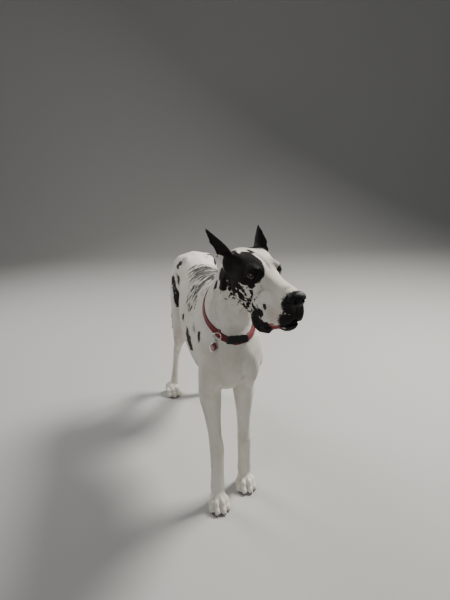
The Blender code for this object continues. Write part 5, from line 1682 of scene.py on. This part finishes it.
def strap_mesh(name="collar_webbing"):
    """A rounded section swept round the neck, with the way round and across kept as a map in metres."""
    section = [(0.0, 0.25), (0.02, 0.75), (0.06, 0.98), (0.28, 1.03), (0.5, 1.04), (0.72, 1.03), (0.94, 0.98),
               (0.98, 0.75), (1.0, 0.25), (0.98, -0.2), (0.5, -0.25), (0.02, -0.2)]
    points, maps, n = [], [], len(section)
    travel = [0.0]
    for a, b in zip(LOWS, LOWS[1:] + LOWS[:1]):
        travel.append(travel[-1] + (b - a).length)
    for low, high in zip(LOWS, HIGHS):
        out = strap_out(low, high)
        points += [low + (high - low) * v + out * (w * STRAP_THICK) for v, w in section]
    across = [v * COLLAR_WIDTH for v, _ in section]
    for i in range(STRAP_STEPS):
        for v, w in zip(across, across[1:] + [0.0]):
            maps += [(travel[i], v), (travel[i + 1], v), (travel[i + 1], w), (travel[i], w)]
    made = mesh_from(name, points, tube_faces(STRAP_STEPS, n, flip=True, closed=True))
    layer = made.data.uv_layers.new(name="weave")
    layer.data.foreach_set("uv", np.array(maps, dtype=np.float32).ravel())
    return made, travel[-1]


def webbing_look(g):
    """Twill in chevrons: slanted ribs that change hands at the middle of the strap."""
    weave = g.node("ShaderNodeUVMap", {"uv_map": "weave"})
    parts = g.node("ShaderNodeSeparateXYZ", None, {0: weave})
    across = Wire(g, parts.socket.node.outputs["Y"])
    chevron = g.node("ShaderNodeMath", {"operation": "ABSOLUTE"}, {0: across - COLLAR_WIDTH / 2})
    ribs = g.node("ShaderNodeMath", {"operation": "SINE"}, {0: (parts + chevron) * (2 * math.pi / 0.0017)})
    threads = g.noise(weave, 1500.0, 2.0)
    worn = g.noise(g.place(), 45.0, 3.0)
    # painted shade and highlight: the red is darker in the hollows between the ribs and lighter on their
    # crests, following the same ribs as the bump
    colour = g.mix(g.step(-0.6, 0.8, ribs), (0.115, 0.006, 0.012), (0.27, 0.014, 0.026))
    colour = g.mix(g.step(0.50, 0.72, worn) * 0.35, colour, (0.10, 0.010, 0.014))
    height = ribs * 0.35 + threads * 0.5
    return {"Base Color": colour, "Roughness": 0.62, "Normal": g.bump(height, 0.0006, 0.8)}


WEBBING = finish("red_webbing_woven", webbing_look, Sheen_Weight=0.25, Sheen_Roughness=0.4)
strap, around_neck = strap_mesh()
strap.data.materials.append(WEBBING)
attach(strap, "root")
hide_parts("collar_band")
print("strap", round(around_neck, 3), "m round and", COLLAR_WIDTH, "m wide")

# %% Stitches along the strap
def path_tree():
    """Repeats a small piece along a path, its back to the surface that the path lies on."""
    g, have = new_tree("pieces along a path", Path="Geometry", Piece="Object", Spacing="Float",
                       Finish="Material")
    curve = g.node("GeometryNodeMeshToCurve", None, {"Mesh": have["Path"]})
    spots = g.node("GeometryNodeCurveToPoints", {"mode": "LENGTH"},
                   {"Curve": curve, "Length": have["Spacing"]})
    tangent = Wire(g, spots.socket.node.outputs["Tangent"])
    out = g.node("GeometryNodeInputNamedAttribute", {"data_type": "FLOAT_VECTOR"},
                 {"Name": "out"}, "Attribute")
    turn = g.node("FunctionNodeAlignRotationToVector", {"axis": "Z"}, {"Vector": out})
    turn = g.node("FunctionNodeAlignRotationToVector", {"axis": "X", "pivot_axis": "Z"},
                  {"Rotation": turn, "Vector": tangent})
    piece = g.node("GeometryNodeObjectInfo", {"transform_space": "ORIGINAL"},
                   {"Object": have["Piece"]}, "Geometry")
    row = g.node("GeometryNodeInstanceOnPoints", None, {"Points": spots, "Instance": piece, "Rotation": turn})
    row = g.node("GeometryNodeRealizeInstances", None, {0: row})
    return end_tree(g, row, have["Finish"])


def capsule(length, radius, sides=6):
    rows = ((-0.5, 0.25), (-0.40, 0.85), (0, 1.0), (0.40, 0.85), (0.5, 0.25))
    points = [(length * t, radius * r * math.cos(a), radius * r * math.sin(a)) for t, r in rows
              for a in circle(sides)]
    faces = tube_faces(len(rows), sides)
    faces += [tuple(range(sides))[::-1], tuple(range(4 * sides, 5 * sides))]
    return mesh_from("one_stitch", points, faces)


def stitch_path(share):
    outs = [strap_out(low, high) for low, high in zip(LOWS, HIGHS)]
    points = [low + (high - low) * share + out * (STRAP_THICK * 1.02)
              for low, high, out in zip(LOWS, HIGHS, outs)]
    mesh = bpy.data.meshes.new("stitch_path")
    mesh.from_pydata([tuple(p) for p in points], [(i, (i + 1) % len(points)) for i in range(len(points))], [])
    keep_on_points(mesh, "out", np.array([tuple(out) for out in outs]))
    return in_collection("stitches_%d" % round(share * 100), mesh)


PATH_TREE = path_tree()
THREAD = finish("red_thread", lambda g: {"Base Color": (0.20, 0.012, 0.020, 1)}, Roughness=0.5)
stitch = capsule(0.0026, 0.00034)
for share in (0.13, 0.87):
    row = grown_from(stitch_path(share), PATH_TREE, Piece=stitch, Spacing=0.0036, Finish=THREAD)
    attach(row, "root")
    print("stitches", len(row.data.polygons), "faces")
bpy.data.objects.remove(stitch)

# %% Side-release buckle
BUCKLE_TURN, BUCKLE_BEND = math.radians(-91), 0.16


def in_order(mesh):
    """The mesh rounded to 0.0001 mm and sorted by place, because a bevel varies from run to run."""
    places = sorted((tuple(round(c, 7) + 0.0 for c in v.co), v.index) for v in mesh.vertices)
    rank = {old: new for new, (_, old) in enumerate(places)}
    rings = [[rank[i] for i in face.vertices] for face in mesh.polygons]
    firsts = [ring.index(min(ring)) for ring in rings]
    faces = sorted(ring[first:] + ring[:first] for ring, first in zip(rings, firsts))
    mesh.clear_geometry()
    mesh.from_pydata([place for place, _ in places], [], faces)
    mesh.shade_smooth()
    return mesh


def rounded(name, outline, low, high, bevel=0.0011, segments=3):
    """An outline pulled up from low to high with rounded edges."""
    mesh = bpy.data.meshes.new(name)
    with edited(mesh) as bm:
        face = bm.faces.new([bm.verts.new((x, y, low)) for x, y in outline])
        up = bmesh.ops.extrude_face_region(bm, geom=[face])
        for v in up["geom"]:
            if isinstance(v, bmesh.types.BMVert):
                v.co.z = high
        bmesh.ops.recalc_face_normals(bm, faces=bm.faces[:])
        bmesh.ops.bevel(bm, geom=bm.edges[:], offset=bevel, segments=segments, profile=0.6, affect="EDGES",
                        clamp_overlap=True)
    return in_order(mesh)


def plate(name, outline, half, bevel, segments=3):
    return in_collection(name, rounded(name, outline, -half, half, bevel, segments))


def joined(name, meshes):
    out = bpy.data.meshes.new(name)
    with edited(out) as bm:
        for mesh in meshes:
            bm.from_mesh(mesh)
    out.shade_smooth()
    return in_collection(name, out)


def mirrored(half):
    return half + [(x, -y) for x, y in half[::-1]]


housing = mirrored(mm([(-33.5, 10.8), (-15, 13), (-12.5, 8.6), (-4, 8.2), (-1.5, 12.4), (4.5, 12)]))
plug = mirrored(mm([(6, 11.2), (18, 12.2), (33.5, 10.6)]))
blocks = [rounded("housing", housing, 0.0000, 0.0092), rounded("plug", plug, 0.0004, 0.0078),
          rounded("window", mirrored(mm([(-30, 7.2), (-25.5, 7.2)])), 0.0086, 0.0098, 0.0004),
          rounded("window", mirrored(mm([(26.5, 7.2), (30, 7.2)])), 0.0070, 0.0086, 0.0004)]
for sign in (-1, 1):
    arm = mm([(-13.8, 9.2), (-11.8, 12.2), (-4, 11.6), (8, 10), (8, 7.6), (-10, 7.6)])
    blocks.append(rounded("arm", [(x, sign * y) for x, y in arm], 0.0022, 0.0066, 0.0006))
RIBS, RIB_PITCH, RIB_WIDE = 4, 0.0035, 0.0016
for low in (0.0095 + k * RIB_PITCH for k in range(RIBS)):
    rib = [(low, -0.0085), (low + RIB_WIDE, -0.0085), (low + RIB_WIDE, 0.0085), (low, 0.0085)]
    blocks.append(rounded("rib", rib, 0.0072, 0.0084, 0.0004, 2))
buckle = joined("side_release_buckle", blocks)
spot, out, along_band, slope = worn_frame(BUCKLE_TURN)
co = points_of(buckle.data)
co[:, 2] -= co[:, 0] ** 2 / (2 * BUCKLE_BEND)
put_points(buckle.data, co)
buckle.data.transform(frame_at(spot + out * (STRAP_THICK * 0.6), along_band, slope, out))


def plastic_look(g):
    here = g.place()
    rough = g.noise(here, 90.0, 4.0) * 0.22 + 0.24
    return {"Base Color": (0.012, 0.012, 0.013, 1), "Roughness": rough,
            "Normal": g.bump(g.noise(here, 1900.0, 2.0), 0.0002, 0.35)}


buckle.data.materials.append(finish("black_moulding", plastic_look))
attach(buckle, "root")
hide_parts("collar_buckle")
print("buckle", len(buckle.data.polygons), "faces")

# %% Ring, keeper and tag
RING_TURN, RING_RADIUS, RING_WIRE = math.radians(-122), 0.0120, 0.0016
KEEPER = (0.0100, 0.0235, 0.0040)
TAG_HALF, BAIL = (0.0125, 0.0160, 0.0011), (0.0042, 0.0009)
# how far the ring's top sits in its keeper, and how far the bail laps over the ring
RING_SEAT, BAIL_LAP = 0.001, 0.0031


def torus(name, major, minor, place, around=56, tube=12):
    points = [place @ Vector(((major + minor * math.cos(b)) * math.cos(a),
                              (major + minor * math.cos(b)) * math.sin(a), minor * math.sin(b)))
              for a in circle(around) for b in circle(tube)]
    return mesh_from(name, points, tube_faces(around, tube, flip=True, closed=True))


def steel_look(g):
    here = g.place()
    scratches = g.noise(here * (900.0, 900.0, 120.0), 1.0, 3.0)
    return {"Base Color": (0.60, 0.59, 0.57, 1), "Roughness": scratches * 0.22 + 0.16}


def enamel_look(g):
    here = g.place()
    colour = g.mix(g.noise(here, 130.0, 3.0), (0.080, 0.008, 0.010), (0.150, 0.014, 0.018))
    return {"Base Color": colour, "Roughness": g.noise(here, 300.0, 3.0) * 0.2 + 0.2}


STEEL = finish("ring_wire", steel_look, Metallic=1.0)
ENAMEL = finish("tag_face", enamel_look, Metallic=0.25, Coat_Weight=0.5)
spot, out, along_band, slope = worn_frame(RING_TURN)
keeper_at = spot + out * (0.0035 + KEEPER[2] * 0.45 - 0.0012)
ways = [(collar_spot(RING_TURN, -drop)[0] + out * 0.011 - keeper_at).normalized()
        for drop in (0.020, 0.030, 0.040, 0.050, 0.060)]
lean = max(ways, key=lambda way: way.dot(out))
lean = (lean - along_band * lean.dot(along_band)).normalized()
out_from = along_band.cross(lean).normalized()
out_from = out_from if out_from.dot(out) > 0 else -out_from
centre = keeper_at + lean * (RING_RADIUS - RING_SEAT) + out * RING_SEAT
ring = torus("ring", RING_RADIUS, RING_WIRE, frame_at(centre, lean, along_band, out_from))
ring.data.materials.append(STEEL)
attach(ring, "root")
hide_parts("collar_ring")

half = [(KEEPER[0] / 2, KEEPER[1] / 2), (-KEEPER[0] / 2, KEEPER[1] / 2)]
keeper = plate("ring_keeper", mirrored(half), KEEPER[2] / 2, 0.0012)
keeper.data.transform(frame_at(keeper_at - out * 0.0006, along_band, slope, out))
keeper.data.materials.append(THREAD)
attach(keeper, "root")

bail_at = centre + lean * (RING_RADIUS + BAIL[0] - BAIL_LAP)
bail_frame = frame_at(bail_at, out_from, lean, along_band)
bail = torus("tag_bail", BAIL[0], BAIL[1], bail_frame, 32, 10)
bail.data.materials.append(STEEL)
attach(bail, "root")

outline = []
for a in circle(64):
    pinch = 1 - 0.18 * abs(math.sin(2 * a))
    outline.append((TAG_HALF[0] * math.cos(a) * pinch, TAG_HALF[1] * math.sin(a) * pinch))
tag = plate("tag_plate", outline, TAG_HALF[2], 0.0005, 2)
inset = [(x * 0.90, y * 0.90) for x, y in outline]
tag_at = bail_frame.translation + lean * (BAIL[0] + TAG_HALF[1] - 0.0006)
tag_frame = frame_at(tag_at, -along_band, lean, out_from)
face = plate("tag_enamel_face", inset, TAG_HALF[2] + 0.0003, 0.0003, 2)
for piece, finish_of in ((tag, STEEL), (face, ENAMEL)):
    piece.data.transform(tag_frame)
    piece.data.materials.append(finish_of)
    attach(piece, "root")
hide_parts("tag")
print("tag hangs at", [round(c, 3) for c in tag_frame.translation])

# %% [markdown]
# ## Floor, light and camera
# The photograph was taken outdoors at a height of 1.25 m, close in front of the dog and to its right, with
# a wide lens that makes the head large. Here the camera repeats that place, tilt and slight roll; the light
# is a plain soft studio set: a key high on the dog's left, a broad fill and a rim.

# %% Backdrop and lights
CAMERA_TURN, CAMERA_TILT, CAMERA_ROLL = math.radians(12.5), math.atan(145 / 450), math.radians(2.0)
CAMERA_AT = Vector((-0.2857, -1.6235, 1.25))
CAMERA_LENS = 27.0


def lit_area(name, place, aim, size, power, colour):
    data = bpy.data.lights.new(name, "AREA")
    data.shape, data.size, data.energy, data.color = "DISK", size, power, colour
    lamp = bpy.data.objects.new(name, data)
    bpy.context.scene.collection.objects.link(lamp)
    lamp.location = place
    lamp.rotation_euler = (Vector(aim) - Vector(place)).to_track_quat("-Z", "Y").to_euler()


def add_backdrop(flat=4.2, bend=2.6, high=7.0, half_width=11.0, steps=20):
    """Pale paper: level under the dog, then swept up behind it, square to the camera."""
    profile = [(-7.0, 0.0), (flat, 0.0)]
    for k in range(1, steps + 1):
        turn = math.pi / 2 * k / steps
        profile.append((flat + bend * math.sin(turn), bend * (1 - math.cos(turn))))
    profile.append((flat + bend, high))
    to_dog = Matrix.Rotation(-CAMERA_TURN, 4, "Z")
    points = [to_dog @ Vector((side * half_width, y, z)) for y, z in profile for side in (-1, 1)]
    faces = [(2 * k, 2 * k + 1, 2 * k + 3, 2 * k + 2) for k in range(len(profile) - 1)]
    mesh = bpy.data.meshes.new("backdrop")
    mesh.from_pydata(points, [], faces)
    mesh.shade_smooth()
    paper = finish("backdrop_paper", lambda g: {"Base Color": (0.46, 0.457, 0.445, 1)}, Roughness=0.9)
    mesh.materials.append(paper)
    in_collection("backdrop", mesh)


add_backdrop()
lit_area("key", (2.3, 0.6, 3.1), (0.0, 0.0, 0.6), 1.1, 230, (1.0, 0.965, 0.90))
lit_area("fill", (-2.6, -3.0, 2.2), (0, 0, 0.6), 2.2, 34, (1.0, 0.985, 0.95))
lit_area("rim", (-1.6, 2.6, 2.6), (0, 0.2, 0.7), 1.4, 60, (1.0, 0.99, 0.97))
world = bpy.data.worlds.new("studio")
bpy.context.scene.world = world
world.use_nodes = True
world.node_tree.nodes["Background"].inputs["Color"].default_value = (0.93, 0.96, 1.0, 1)
world.node_tree.nodes["Background"].inputs["Strength"].default_value = 0.13

# %% Camera
def add_camera():
    data = bpy.data.cameras.new("camera")
    data.sensor_width, data.lens, data.clip_start = 36.0, CAMERA_LENS, 0.02
    made = bpy.data.objects.new("camera", data)
    bpy.context.scene.collection.objects.link(made)
    to_dog = Matrix(((math.cos(CAMERA_TURN), math.sin(CAMERA_TURN), 0),
                     (-math.sin(CAMERA_TURN), math.cos(CAMERA_TURN), 0), (0, 0, 1)))
    forward = to_dog @ Vector((0, math.cos(CAMERA_TILT), -math.sin(CAMERA_TILT)))
    right = to_dog @ Vector((1, 0, 0))
    up = right.cross(forward)
    rolled_right = right * math.cos(CAMERA_ROLL) - up * math.sin(CAMERA_ROLL)
    rolled_up = right * math.sin(CAMERA_ROLL) + up * math.cos(CAMERA_ROLL)
    made.matrix_world = frame_at(CAMERA_AT, rolled_right, rolled_up, -forward)
    bpy.context.scene.camera = made


add_camera()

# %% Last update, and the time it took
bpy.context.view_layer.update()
told("made in")
